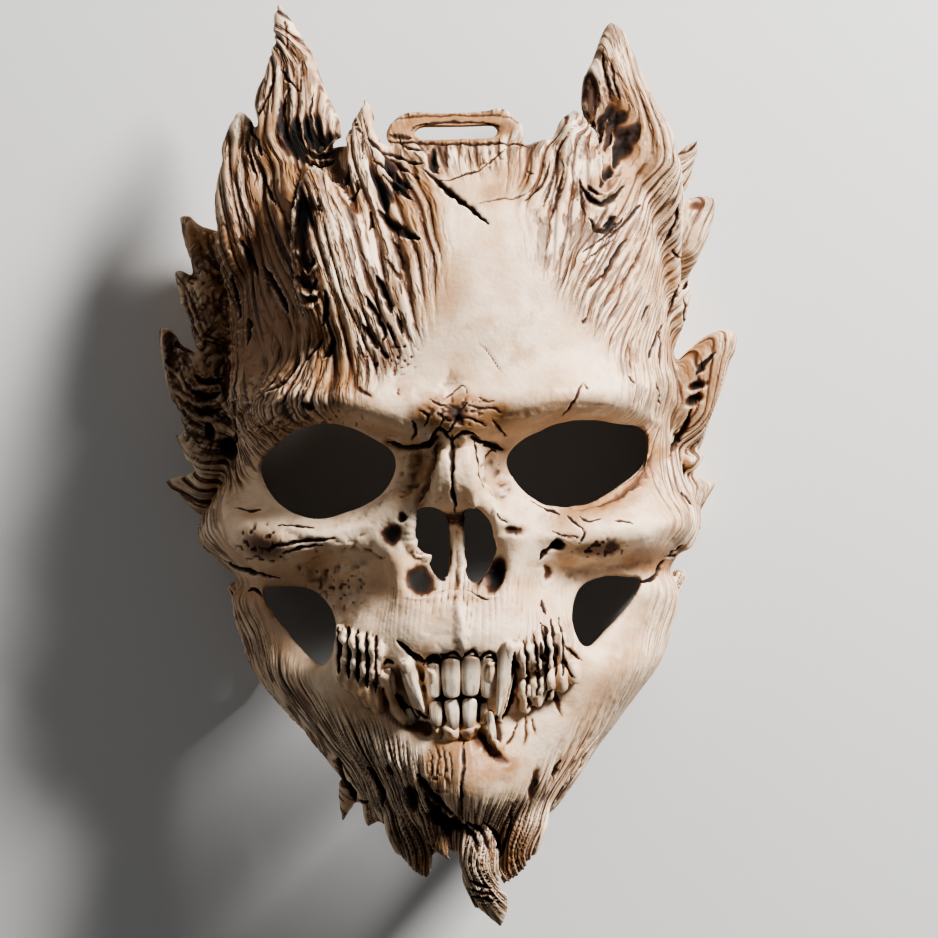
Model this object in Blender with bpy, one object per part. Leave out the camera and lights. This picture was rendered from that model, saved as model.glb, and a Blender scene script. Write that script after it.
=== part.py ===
"""Horned skull mask: a cast resin shell with three slotted strap tabs, lying face up on its rim.

X runs across the face, Y runs up it from the eye line, and Z runs out of it from the rim.
Every table holds shares of the named sizes, chosen by eye, with one row for each form.
"""

import math

import bmesh
import bpy
from mathutils import Vector

# Driving sizes, in metres
FACE_LENGTH = 0.260
FACE_WIDTH = 0.176
FACE_DEPTH = 0.100
WALL = 0.0045
RELIEF = 0.010
HORN_LENGTH = 0.080
HORN_WIDTH = 0.044
SPIKE_LENGTH = 0.030
SPIKE_WIDTH = 0.017
CHIN_SPIKE_LENGTH = 0.034
CHIN_SPIKE_WIDTH = 0.015
TIP_RADIUS = 0.0012
EYE_WIDTH = 0.050
EYE_HEIGHT = 0.031
CHEEK_GAP_WIDTH = 0.026
CHEEK_GAP_HEIGHT = 0.025
NOSTRIL_WIDTH = 0.014
NOSTRIL_HEIGHT = 0.026
TOOTH_WIDTH = 0.0068
TOOTH_DEPTH = 0.009
STRAP_WIDTH = 0.025
SLOT_CLEARANCE = 0.0022
SLOT_HEIGHT = 0.0065
TAB_MARGIN = 0.006
SIDE_TAB_MARGIN = 0.005
TAB_THICKNESS = 0.0034

# Mesh density
VOXEL = 0.0013
BLANK_TRIANGLES = 4620
ARCH_STEPS = 88
LENGTH_STEPS = 100
CAVITY_ARCH_STEPS = 28
CAVITY_LENGTH_STEPS = 34
SWEEP_STEPS = 14
SWEEP_SIDES = 16

# Cross sections of the face, from the forehead's edge to the chin's.
# height: share of FACE_LENGTH above the eye line. half_width: share of half of FACE_WIDTH.
# front and rim: shares of FACE_DEPTH. fullness: 2 is an ellipse, and more is boxier.
SECTION_COLUMNS = ("height", "half_width", "front", "rim", "fullness")
SECTIONS = (
    (0.445, 0.84, 0.70, 0.34, 2.1),
    (0.385, 0.91, 0.84, 0.20, 2.2),
    (0.290, 0.94, 0.95, 0.03, 2.35),
    (0.175, 0.95, 1.02, -0.03, 2.5),
    (0.075, 0.96, 1.03, -0.03, 2.6),
    (0.000, 0.985, 0.98, -0.03, 2.6),
    (-0.085, 1.005, 0.95, -0.03, 2.6),
    (-0.130, 0.94, 0.95, -0.03, 2.6),
    (-0.155, 0.89, 0.95, 0.10, 2.5),
    (-0.185, 0.91, 0.96, 0.19, 2.5),
    (-0.270, 0.83, 0.98, 0.22, 2.4),
    (-0.345, 0.68, 0.98, 0.28, 2.3),
    (-0.420, 0.52, 0.97, 0.38, 2.2),
    (-0.480, 0.38, 0.92, 0.49, 2.1),
    (-0.525, 0.23, 0.83, 0.58, 2.0),
)

# Bone forms raised from the face or sunk into it. A row with x above 0 is on both sides.
# x: share of half of FACE_WIDTH. y: share of FACE_LENGTH. reach_x, reach_y: the same shares.
# turn: degrees. rise: share of RELIEF. flat: 0 is a round hump, and 1 has a level middle.
FORM_COLUMNS = ("x", "y", "reach_x", "reach_y", "turn", "rise", "flat")
FORMS = {
    "forehead": (0.00, 0.240, 0.62, 0.160, 0, 0.35, 0),
    "brow": (0.47, 0.088, 0.42, 0.036, 5, 0.90, 0),
    "glabella": (0.00, 0.066, 0.16, 0.030, 0, 0.45, 0),
    "nasion": (0.00, 0.026, 0.15, 0.014, 0, -0.55, 0),
    "eye_socket": (0.51, -0.004, 0.37, 0.080, 0, -1.15, 1),
    "nose_bridge": (0.00, -0.012, 0.12, 0.058, 0, 1.25, 0),
    "nose_flank": (0.21, -0.085, 0.09, 0.070, 12, 0.40, 0),
    "nose_pit": (0.00, -0.118, 0.19, 0.060, 0, -0.75, 1),
    "cheekbone": (0.66, -0.088, 0.30, 0.038, -4, 0.80, 0),
    "left_cheek": (-0.98, -0.100, 0.15, 0.075, 0, 0.45, 0),
    "canine_hollow": (0.37, -0.160, 0.12, 0.040, 0, -0.45, 0),
    "cheek_hollow": (0.62, -0.198, 0.22, 0.062, -35, -1.05, 1),
    "muzzle": (0.00, -0.225, 0.40, 0.085, 0, 0.95, 0),
    "bite": (0.00, -0.312, 0.38, 0.052, 0, -0.55, 1),
    "chin": (0.02, -0.425, 0.22, 0.048, 0, 0.85, 0),
    "under_chin": (0.18, -0.500, 0.14, 0.040, 0, -0.35, 0),
    "temple": (0.86, 0.050, 0.13, 0.080, 0, -0.50, 0),
    "jaw_bar": (0.80, -0.270, 0.10, 0.110, -28, 0.35, 0),
}

# Swept horns and spikes.
# base_x, base_y, base_z: shares of half of FACE_WIDTH, FACE_LENGTH and FACE_DEPTH.
# run_x, run_y, run_z, bow: shares of the group's length. width: share of its width.
# depth: share of the width. swell: how far up it keeps its width. taper: under 1 is a blunt tip.
# hollow: how deep the front is scooped.
SWEEP_COLUMNS = (
    "base_x", "base_y", "base_z", "run_x", "run_y", "run_z",
    "bow", "width", "depth", "swell", "taper", "hollow",
)
HORNS = {
    "left_tall": (-0.61, 0.310, 0.64, -0.05, 1.10, -0.26, -0.05, 0.98, 0.60, 2.5, 1.20, 0.35),
    "left_outer": (-0.70, 0.185, 0.58, -0.17, 1.03, -0.12, 0.05, 0.78, 0.70, 2.4, 1.00, 0.15),
    "left_inner": (-0.30, 0.265, 0.88, -0.06, 0.79, -0.28, -0.02, 0.64, 0.60, 2.0, 1.10, 0.15),
    "left_front": (-0.28, 0.110, 1.00, -0.27, 1.00, -0.17, 0.07, 0.84, 0.52, 2.4, 0.70, 0.00),
    "right_tall": (0.795, 0.235, 0.56, -0.11, 1.24, -0.18, -0.03, 0.92, 0.62, 3.0, 0.90, 0.50),
    "right_inner": (0.52, 0.265, 0.80, 0.01, 0.73, -0.25, -0.02, 0.76, 0.50, 1.8, 0.90, 0.00),
}
SPIKES = {
    "left_crown": (-0.87, 0.225, 0.30, -0.74, 1.22, -0.08, -0.30, 1.35, 0.75, 4.0, 0.90, 0.3),
    "left_temple": (-0.88, 0.145, 0.34, -0.80, 1.24, -0.12, -0.26, 1.20, 0.75, 3.5, 0.95, 0.3),
    "left_brow": (-0.91, -0.040, 0.32, -0.93, 2.16, -0.15, -0.42, 1.60, 0.70, 4.0, 0.90, 0.4),
    "left_ear": (-0.95, -0.012, 0.30, -0.72, 0.66, -0.05, 0.00, 0.66, 0.80, 1.6, 1.00, 0.0),
    "left_lobe": (-0.93, -0.034, 0.26, -0.80, 0.20, -0.05, 0.04, 1.20, 0.80, 1.6, 1.00, 0.0),
    "right_crown": (0.90, 0.350, 0.34, 0.50, 0.92, -0.05, 0.10, 0.72, 0.80, 2.4, 0.80, 0.0),
    "right_temple": (0.90, 0.240, 0.30, 0.69, 1.14, -0.08, 0.30, 1.20, 0.75, 4.0, 0.80, 0.3),
    "right_lock": (0.91, 0.165, 0.32, 0.30, 0.85, -0.08, 0.05, 0.62, 0.80, 2.4, 0.80, 0.0),
    "right_brow": (0.91, -0.030, 0.32, 0.86, 1.86, -0.15, 0.42, 1.32, 0.70, 4.0, 0.80, 0.4),
    "right_ear": (0.95, -0.012, 0.28, 0.32, 0.16, 0.00, 0.00, 0.48, 0.80, 1.6, 0.80, 0.0),
    "right_lobe": (0.91, -0.055, 0.24, 0.60, 0.20, 0.00, -0.05, 0.85, 0.80, 1.8, 1.00, 0.0),
    "right_knob": (0.84, -0.096, 0.36, 0.38, -0.24, -0.06, 0.04, 1.00, 0.95, 3.0, 0.55, 0.0),
}
CHIN_SPIKES = {
    "left_edge": (-0.40, -0.375, 0.54, -0.25, -0.88, 0.00, 0.00, 0.75, 0.90, 2.2, 0.80, 0.0),
    "left_side": (-0.31, -0.405, 0.64, -0.20, -0.72, 0.00, 0.00, 0.80, 0.90, 2.2, 0.80, 0.0),
    "left_front": (-0.28, -0.415, 0.76, 0.36, -1.14, 0.00, -0.06, 1.15, 0.80, 3.0, 0.75, 0.0),
    "left_inner": (-0.13, -0.455, 0.90, 0.22, -0.62, -0.05, -0.10, 0.65, 0.80, 2.0, 0.80, 0.0),
    "centre": (0.06, -0.462, 0.92, 0.19, -1.31, -0.25, -0.16, 1.00, 0.90, 3.0, 0.75, 0.0),
    "right_front": (0.31, -0.425, 0.78, -0.40, -1.14, 0.00, 0.06, 1.10, 0.80, 3.0, 0.85, 0.0),
}

# Through openings, each a closed smooth outline round its centre.
# Centres are shares of half of FACE_WIDTH and of FACE_LENGTH. Outline points are shares of the
# opening's half width and half height.
OPENINGS = {
    "eye_right": (
        (0.51, 0.000), (EYE_WIDTH, EYE_HEIGHT),
        ((-1.0, 0.25), (-0.5, 0.83), (0.0, 1.0), (0.55, 0.92), (0.98, 0.74),
         (0.97, -0.05), (0.52, -0.62), (0.03, -0.98), (-0.52, -0.96), (-0.94, -0.35)),
    ),
    "eye_left": (
        (-0.51, 0.000), (EYE_WIDTH, EYE_HEIGHT),
        ((1.0, 0.20), (0.62, 0.75), (0.2, 1.02), (-0.25, 1.02), (-0.65, 0.72),
         (-1.0, 0.15), (-0.80, -0.62), (-0.38, -1.06), (0.08, -1.10), (0.78, -0.62)),
    ),
    "cheek_right": (
        (0.61, -0.205), (CHEEK_GAP_WIDTH, CHEEK_GAP_HEIGHT),
        ((-0.8, 0.66), (-0.1, 1.0), (0.55, 0.95), (1.0, 0.80), (0.45, -0.10),
         (-0.38, -0.93), (-0.75, -0.90), (-0.98, -0.2)),
    ),
    "cheek_left": (
        (-0.64, -0.210), (CHEEK_GAP_WIDTH, CHEEK_GAP_HEIGHT),
        ((0.82, 0.55), (0.3, 0.98), (-0.5, 1.05), (-1.02, 0.92), (-0.62, 0.0),
         (0.15, -0.93), (0.78, -1.15), (1.05, -0.2)),
    ),
    "nostril_right": (
        (0.095, -0.107), (NOSTRIL_WIDTH, NOSTRIL_HEIGHT),
        ((-0.82, 0.75), (0.0, 1.0), (0.85, 0.40), (0.85, -0.25), (0.0, -0.98), (-0.75, -0.7)),
    ),
    "nostril_left": (
        (-0.100, -0.102), (NOSTRIL_WIDTH, NOSTRIL_HEIGHT),
        ((0.95, 0.60), (0.1, 0.95), (-0.75, 0.80), (-1.0, 0.1), (-0.35, -0.25),
         (0.3, -0.95), (0.9, -0.9)),
    ),
}

# Teeth, each a tapered peg. root and tip: shares of half of FACE_WIDTH and of FACE_LENGTH.
# width: share of TOOTH_WIDTH. A molar row steps from its first tooth to its last.
TOOTH_COLUMNS = ("root_x", "root_y", "tip_x", "tip_y", "width")
FRONT_TEETH = {
    "upper_central_left": (-0.027, -0.262, -0.028, -0.320, 1.00),
    "upper_central_right": (0.057, -0.258, 0.056, -0.319, 1.00),
    "upper_lateral_left": (-0.103, -0.264, -0.100, -0.320, 0.84),
    "upper_lateral_right": (0.126, -0.258, 0.124, -0.321, 0.84),
    "upper_canine_left": (-0.210, -0.255, -0.137, -0.340, 0.92),
    "upper_canine_right": (0.218, -0.236, 0.148, -0.345, 0.95),
    "upper_premolar_left": (-0.285, -0.272, -0.262, -0.315, 0.66),
    "lower_central_left": (-0.030, -0.366, -0.030, -0.326, 0.86),
    "lower_central_right": (0.044, -0.366, 0.044, -0.324, 0.86),
    "lower_lateral_left": (-0.095, -0.362, -0.092, -0.329, 0.64),
    "lower_lateral_right": (0.104, -0.360, 0.104, -0.330, 0.60),
    "lower_canine_left": (-0.262, -0.318, -0.202, -0.346, 0.70),
    "lower_canine_right": (0.152, -0.390, 0.122, -0.340, 0.70),
}
# jaw, first_x, last_x, first_root_y, last_root_y, first_tip_y, last_tip_y
MOLAR_ROWS = (
    ("upper", 0.265, 0.465, -0.240, -0.222, -0.282, -0.262),
    ("lower", 0.265, 0.455, -0.330, -0.290, -0.288, -0.268),
    ("upper", -0.325, -0.475, -0.235, -0.220, -0.285, -0.258),
    ("lower", -0.325, -0.470, -0.325, -0.285, -0.291, -0.264),
)
MOLARS_IN_ROW = 5
MOLAR_WIDTH = 0.0043

# Strap tabs, cast on the edge of the face. The top one leans back from the forehead's edge, and
# the side ones stand behind the jaw. Heights are shares of FACE_LENGTH, of a tab's middle.
TOP_TAB_X = 0.05
TOP_TAB_HEIGHT = 0.4275
TOP_TAB_LEAN = 27
SIDE_TAB_HEIGHT = -0.230
SIDE_TAB_TURN = 21
SIDE_TAB_SETBACK = 0.0012
TAB_ROOT = 0.006

HALF_WIDTH = FACE_WIDTH / 2
BONE = (0.86, 0.76, 0.64, 1.0)


def row(columns, values):
    return dict(zip(columns, values))


def smooth_columns(table, columns, key):
    """All columns of a table at a key between its rows, by a curve through the rows."""
    rows = sorted((row(columns, values) for values in table), key=lambda r: r[columns[0]])
    keys = [r[columns[0]] for r in rows]
    key = min(max(key, keys[0]), keys[-1])
    i = min(max(sum(k <= key for k in keys) - 1, 0), len(rows) - 2)
    t = (key - keys[i]) / (keys[i + 1] - keys[i])
    before, after = rows[max(i - 1, 0)], rows[min(i + 2, len(rows) - 1)]
    found = {}
    for name in columns[1:]:
        a, b, c, d = before[name], rows[i][name], rows[i + 1][name], after[name]
        found[name] = b + 0.5 * t * (
            c - a + t * (2 * a - 5 * b + 4 * c - d + t * (3 * (b - c) + d - a))
        )
    return found


def relief(x, y):
    """How far the bone forms raise the face at a point seen from the front, in metres."""
    total = 0.0
    for values in FORMS.values():
        form = row(FORM_COLUMNS, values)
        for side in (1, -1) if form["x"] > 0.05 else (1,):
            dx = x - side * form["x"] * HALF_WIDTH
            dy = y - form["y"] * FACE_LENGTH
            turn = side * math.radians(form["turn"])
            along = dx * math.cos(turn) + dy * math.sin(turn)
            across = dy * math.cos(turn) - dx * math.sin(turn)
            r = math.hypot(
                along / (form["reach_x"] * HALF_WIDTH), across / (form["reach_y"] * FACE_LENGTH)
            )
            power = 2 + 3 * form["flat"]
            total += form["rise"] * RELIEF * math.exp(-(r**power))
    return total


def face_point(height, angle, inset=0.0):
    """A point of the face: height in metres, and angle 0 at the middle to 90 degrees at a rim."""
    at = smooth_columns(SECTIONS, SECTION_COLUMNS, height / FACE_LENGTH)
    half_width = at["half_width"] * HALF_WIDTH
    rise = (at["front"] - at["rim"]) * FACE_DEPTH
    power = 2 / at["fullness"]
    sine, cosine = math.sin(abs(angle)), max(math.cos(angle), 0.0)
    x = math.copysign(half_width * sine**power, angle)
    z = rise * cosine**power
    slope_x = (abs(x) / half_width) ** (at["fullness"] - 1) / half_width
    slope_z = (z / rise) ** (at["fullness"] - 1) / rise
    out = Vector((math.copysign(slope_x, x), 0.0, slope_z)).normalized()
    point = Vector((x, height, z + at["rim"] * FACE_DEPTH))
    return point + out * (relief(x, height) - inset)


def face_front(x, y):
    """The face's point in front of (x, y), found by halving the angle's range."""
    low, high = 0.0, math.pi / 2
    for _ in range(24):
        middle = (low + high) / 2
        if face_point(y, middle).x < abs(x):
            low = middle
        else:
            high = middle
    return Vector((x, y, face_point(y, low).z))


def mesh_object(name, points, faces):
    mesh = bpy.data.meshes.new(name)
    mesh.from_pydata(points, [], faces)
    bm = bmesh.new()
    bm.from_mesh(mesh)
    bmesh.ops.remove_doubles(bm, verts=bm.verts, dist=1e-6)
    bmesh.ops.recalc_face_normals(bm, faces=bm.faces)
    bm.to_mesh(mesh)
    bm.free()
    made = bpy.data.objects.new(name, mesh)
    bpy.context.scene.collection.objects.link(made)
    return made


def helper(made):
    """A cutter or a body that is joined into another: it isn't a piece by itself."""
    made.hide_render = True
    made.display_type = "WIRE"
    return made


def joined(name, parts):
    """One mesh object of several, which are removed."""
    points, faces = [], []
    for part in parts:
        start = len(points)
        points += [v.co.copy() for v in part.data.vertices]
        faces += [[start + i for i in polygon.vertices] for polygon in part.data.polygons]
        bpy.data.objects.remove(part)
    return mesh_object(name, points, faces)


def loft(name, rings):
    """A closed body through rings of as many points each."""
    count = len(rings[0])
    points = [point for ring in rings for point in ring]
    faces = [list(range(count)), list(range(len(points) - count, len(points)))]
    for r in range(len(rings) - 1):
        for i in range(count):
            j = (i + 1) % count
            faces.append(
                [r * count + i, r * count + j, (r + 1) * count + j, (r + 1) * count + i]
            )
    return mesh_object(name, points, faces)


def face_blank():
    """The face as a full body, flat behind, with all its bone forms."""
    top = max(values[0] for values in SECTIONS) * FACE_LENGTH
    bottom = min(values[0] for values in SECTIONS) * FACE_LENGTH
    rings = []
    for i in range(LENGTH_STEPS + 1):
        y = bottom + (top - bottom) * i / LENGTH_STEPS
        angles = [math.pi * (j / ARCH_STEPS - 0.5) for j in range(ARCH_STEPS + 1)]
        rings.append([face_point(y, angle) for angle in angles])
    return loft("face_blank", rings)


def head_space():
    """What is cut from behind, one wall inside the face, so that the face is a shell."""
    top = max(values[0] for values in SECTIONS) * FACE_LENGTH
    bottom = min(values[0] for values in SECTIONS) * FACE_LENGTH
    steps, across = CAVITY_LENGTH_STEPS, CAVITY_ARCH_STEPS
    rings = []
    for i in range(steps + 1):
        y = bottom + (top - bottom) * i / steps
        angles = [math.pi * (j / across - 0.5) for j in range(across + 1)]
        arch = [face_point(y, angle, WALL) for angle in angles]
        floor = -0.3 * FACE_DEPTH
        rings.append(
            [Vector((arch[0].x, y, floor)), *arch, Vector((arch[-1].x, y, floor))]
        )
    overrun = 0.12 * FACE_LENGTH

    def beyond(ring, step, sink):
        return [Vector((p.x * 0.94, p.y + step, min(p.z, p.z - sink))) for p in ring]

    rings.insert(0, beyond(rings[0], -overrun, 0.20 * FACE_DEPTH))
    rings.append(beyond(rings[-1], overrun, 0.34 * FACE_DEPTH))
    return helper(loft("head_space", rings))


def sweep(name, values, length, width):
    """A horn or spike: an oval swept from its base to its tip, scooped along its front."""
    form = row(SWEEP_COLUMNS, values)
    base = Vector(
        (
            form["base_x"] * HALF_WIDTH,
            form["base_y"] * FACE_LENGTH,
            form["base_z"] * FACE_DEPTH,
        )
    )
    run = Vector((form["run_x"], form["run_y"], form["run_z"])) * length
    side = Vector((-run.y, run.x, 0.0)).normalized()
    middle = base + run * 0.55 + side * form["bow"] * length
    tip = base + run
    half = form["width"] * width / 2
    rings = []
    for i in range(SWEEP_STEPS + 1):
        t = 1 - (1 - i / SWEEP_STEPS) ** 1.6
        centre = base * (1 - t) ** 2 + middle * 2 * t * (1 - t) + tip * t**2
        forward = ((middle - base) * (1 - t) + (tip - middle) * t).normalized()
        across = Vector((-forward.y, forward.x, 0.0)).normalized()
        out = across.cross(forward)
        out = out if out.z > 0 else -out
        rooted = min(t / 0.45, 1.0)
        rooted = rooted * rooted * (3 - 2 * rooted)
        centre = centre - out * half * form["depth"] * 1.3 * (1 - rooted)
        size = (0.75 + 0.25 * rooted) * (1 - t ** form["swell"]) ** form["taper"]
        wide = max(half * size, TIP_RADIUS)
        deep = max(half * size * form["depth"], TIP_RADIUS)
        ring = []
        for j in range(SWEEP_SIDES):
            angle = 2 * math.pi * j / SWEEP_SIDES
            scoop = form["hollow"] * (1 - t) * math.exp(-((math.sin(angle) - 1) ** 2) / 0.18)
            ring.append(
                centre
                + across * wide * math.cos(angle)
                + out * deep * (math.sin(angle) - 1.8 * scoop)
            )
        rings.append(ring)
    return loft(name, rings)


def smooth_outline(points, steps=4):
    """A closed curve through the points, with that many steps between each two."""
    count, curve = len(points), []
    for i in range(count):
        a, b, c, d = (points[(i + k) % count] for k in (-1, 0, 1, 2))
        for s in range(steps):
            t = s / steps
            curve.append(
                tuple(
                    b[k] + 0.5 * t * (
                        c[k] - a[k]
                        + t * (
                            2 * a[k] - 5 * b[k] + 4 * c[k] - d[k]
                            + t * (3 * (b[k] - c[k]) + d[k] - a[k])
                        )
                    )
                    for k in (0, 1)
                )
            )
    return curve


def opening_cutter(name, centre, size, outline):
    """A prism along Z through the shell, of the opening's outline."""
    middle = (centre[0] * HALF_WIDTH, centre[1] * FACE_LENGTH)
    curve = [
        (middle[0] + u * size[0] / 2, middle[1] + v * size[1] / 2)
        for u, v in smooth_outline(outline)
    ]
    levels = (-0.2 * FACE_DEPTH, 1.6 * FACE_DEPTH)
    return loft(name, [[Vector((x, y, z)) for x, y in curve] for z in levels])


def tooth(name, values):
    """A peg with a rounded tip that stands out of the gum, root to tip."""
    form = row(TOOTH_COLUMNS, values)
    root = face_front(form["root_x"] * HALF_WIDTH, form["root_y"] * FACE_LENGTH)
    tip = face_front(form["tip_x"] * HALF_WIDTH, form["tip_y"] * FACE_LENGTH)
    along = (tip - root).normalized()
    across = along.cross(Vector((0, 0, 1))).normalized()
    out = across.cross(along)
    out = out if out.z > 0 else -out
    half = form["width"] * TOOTH_WIDTH / 2
    rings = []
    for t, size in ((0.0, 0.80), (0.35, 1.0), (0.80, 0.86), (1.0, 0.45)):
        centre = root.lerp(tip, t) + out * 0.08 * TOOTH_DEPTH
        rings.append(
            [
                centre
                + across * half * size * math.cos(angle)
                + out * TOOTH_DEPTH / 2 * (0.5 + size / 2) * math.sin(angle)
                for angle in (math.tau * k / 8 for k in range(8))
            ]
        )
    return loft(name, rings)


def teeth():
    """Every second peg of a jaw in one body, so that no body's pegs meet each other."""
    pegs = {jaw: [] for jaw in ("upper", "lower")}
    for name, values in FRONT_TEETH.items():
        pegs[name[:5]].append((values[0], tooth(name, values)))
    for jaw, first_x, last_x, first_root, last_root, first_tip, last_tip in MOLAR_ROWS:
        for k in range(MOLARS_IN_ROW):
            t = k / (MOLARS_IN_ROW - 1)
            x = first_x + (last_x - first_x) * t
            values = (
                x, first_root + (last_root - first_root) * t,
                x, first_tip + (last_tip - first_tip) * t, MOLAR_WIDTH / TOOTH_WIDTH,
            )
            pegs[jaw].append((x, tooth(f"{jaw}_molar_{k}", values)))
    rows = []
    for jaw, row_pegs in pegs.items():
        ordered = [peg for _, peg in sorted(row_pegs, key=lambda pair: pair[0])]
        rows += [helper(joined(f"{jaw}_teeth_{half}", ordered[half::2])) for half in (0, 1)]
    return rows


def tab(name, middle, along, reach, margin):
    """A slotted plate for the strap: middle of its root, direction of its edge and of its reach."""
    slot_width = STRAP_WIDTH + 2 * SLOT_CLEARANCE
    end = slot_width / 2 + margin
    top = margin + SLOT_HEIGHT + margin
    away = along.cross(reach) * TAB_THICKNESS / 2
    outline = (
        (-end, -TAB_ROOT), (end, -TAB_ROOT), (end, top - margin), (end - margin * 0.6, top),
        (-end + margin * 0.6, top), (-end, top - margin),
    )
    plate = loft(
        name, [[middle + along * u + reach * v + away * w for u, v in outline] for w in (-1, 1)]
    )
    half = SLOT_HEIGHT / 2
    slot = []
    for side, start in ((1, -90), (-1, 90)):
        for step in range(7):
            angle = math.radians(start + 30 * step)
            slot.append(
                (side * (slot_width / 2 - half) + half * math.cos(angle),
                 margin + half + half * math.sin(angle))
            )
    cutter = loft(
        name + "_slot",
        [[middle + along * u + reach * v + away * w for u, v in slot] for w in (-3, 3)],
    )
    return helper(plate), helper(cutter)


def tabs():
    """The three strap tabs and the slots through them."""
    lean = math.radians(TOP_TAB_LEAN)
    root = face_front(TOP_TAB_X * HALF_WIDTH, TOP_TAB_HEIGHT * FACE_LENGTH)
    root.z -= WALL
    made = [
        tab("top_tab", root, Vector((1, 0, 0)), Vector((0, math.cos(lean), -math.sin(lean))),
            TAB_MARGIN)
    ]
    turn = math.radians(SIDE_TAB_TURN)
    height = SIDE_TAB_HEIGHT * FACE_LENGTH
    rim = face_point(height, math.pi / 2, WALL / 2 + SIDE_TAB_SETBACK)
    for side in (1, -1):
        along = Vector((side * math.sin(turn), math.cos(turn), 0))
        middle = Vector((side * rim.x, height, rim.z))
        made.append(tab(f"side_tab_{side}", middle, along, Vector((0, 0, -1)), SIDE_TAB_MARGIN))
    return made


def count_triangles(made):
    bpy.context.view_layer.update()
    evaluated = made.evaluated_get(bpy.context.evaluated_depsgraph_get())
    return sum(len(polygon.vertices) - 2 for polygon in evaluated.data.polygons)


def cut(made, cutter, operation="DIFFERENCE", solver="EXACT"):
    boolean = made.modifiers.new(cutter.name, "BOOLEAN")
    boolean.operation = operation
    boolean.object = cutter
    boolean.solver = solver


def mask_shell():
    """The casting: face, horns, spikes and teeth in one, hollow behind and cut through."""
    parts = [face_blank()]
    parts += [sweep(n, v, HORN_LENGTH, HORN_WIDTH) for n, v in HORNS.items()]
    parts += [sweep(n, v, SPIKE_LENGTH, SPIKE_WIDTH) for n, v in SPIKES.items()]
    parts += [sweep(n, v, CHIN_SPIKE_LENGTH, CHIN_SPIKE_WIDTH) for n, v in CHIN_SPIKES.items()]
    shell = joined("mask_shell", parts)
    remesh = shell.modifiers.new("fuse", "REMESH")
    remesh.mode = "VOXEL"
    remesh.voxel_size = VOXEL
    soften = shell.modifiers.new("soften", "SMOOTH")
    soften.factor = 0.5
    soften.iterations = 4
    thin = shell.modifiers.new("thin", "DECIMATE")
    thin.ratio = 1.0
    thin.ratio = BLANK_TRIANGLES / count_triangles(shell)
    for pegs in teeth():
        cut(shell, pegs, "UNION", "MANIFOLD")
    cut(shell, head_space())
    cutters = [opening_cutter(name, *values) for name, values in OPENINGS.items()]
    plates, slots = zip(*tabs())
    cut(shell, helper(joined("strap_tabs", plates)), "UNION")
    cut(shell, helper(joined("openings", [*cutters, *slots])))
    reach = 2 * FACE_LENGTH
    corners = [(-reach, -reach), (reach, -reach), (reach, reach), (-reach, reach)]
    below = loft("below_rim", [[Vector((x, y, z)) for x, y in corners] for z in (-reach, 0.0)])
    cut(shell, helper(below))
    return shell


def material():
    made = bpy.data.materials.new("painted_resin")
    made.use_nodes = True
    shader = made.node_tree.nodes["Principled BSDF"]
    shader.inputs["Base Color"].default_value = BONE
    shader.inputs["Roughness"].default_value = 0.6
    shader.inputs["Metallic"].default_value = 0.0
    return made


def main():
    for old in list(bpy.data.objects):
        bpy.data.objects.remove(old)
    resin = material()
    for piece in [mask_shell()]:
        piece.data.materials.append(resin)
        piece.data.shade_smooth()


main()
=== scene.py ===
"""A horned skull mask of painted cast resin, lying face up on a pale table."""

import math

import bmesh
import bpy
import numpy as np
from mathutils import Matrix, Vector
from mathutils.bvhtree import BVHTree


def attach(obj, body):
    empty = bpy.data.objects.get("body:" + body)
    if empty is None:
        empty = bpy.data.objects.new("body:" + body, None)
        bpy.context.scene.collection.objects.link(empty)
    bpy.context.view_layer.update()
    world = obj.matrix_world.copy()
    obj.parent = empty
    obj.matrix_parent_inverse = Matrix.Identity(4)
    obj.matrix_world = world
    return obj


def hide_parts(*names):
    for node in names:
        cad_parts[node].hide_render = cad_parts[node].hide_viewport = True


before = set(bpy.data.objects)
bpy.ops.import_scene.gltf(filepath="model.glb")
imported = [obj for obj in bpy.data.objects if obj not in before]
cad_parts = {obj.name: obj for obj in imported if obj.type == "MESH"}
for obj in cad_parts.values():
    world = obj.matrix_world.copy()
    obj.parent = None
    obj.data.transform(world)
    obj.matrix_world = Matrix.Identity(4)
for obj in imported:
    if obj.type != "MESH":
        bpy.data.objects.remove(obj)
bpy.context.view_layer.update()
scene = bpy.context.scene

# Camera
# It looks straight down at the face, rolled as the mask hangs in the photo. A pixel of the photo
# is 0.36 mm in the plane that is 60 mm above the table, and the marks below are placed by pixel.
PIXEL = 0.00036
VIEW_PLANE = 0.060
DISTANCE = 1.2
ROLL = math.radians(1.5)
EYE_LINE = (453.0, 466.0)
PHOTO = 938.0
SENSOR = 36


def from_pixel(px, py):
    """The point of the view plane that a pixel of the photo shows."""
    x, y = (px - EYE_LINE[0]) * PIXEL, (EYE_LINE[1] - py) * PIXEL
    return Vector(
        (
            x * math.cos(ROLL) + y * math.sin(ROLL),
            y * math.cos(ROLL) - x * math.sin(ROLL),
            VIEW_PLANE,
        )
    )


aim = from_pixel(PHOTO / 2, PHOTO / 2)
upward = Vector((math.sin(ROLL), math.cos(ROLL), 0))
camera = bpy.data.objects.new("camera", bpy.data.cameras.new("camera"))
scene.collection.objects.link(camera)
scene.camera = camera
camera.data.sensor_width = SENSOR
camera.data.lens = SENSOR * DISTANCE / (PHOTO * PIXEL)
right = upward.cross(Vector((0, 0, 1)))
camera.matrix_world = Matrix(
    (
        (right.x, upward.x, 0, aim.x),
        (right.y, upward.y, 0, aim.y),
        (0, 0, 1, aim.z + DISTANCE),
        (0, 0, 0, 1),
    )
)

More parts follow.
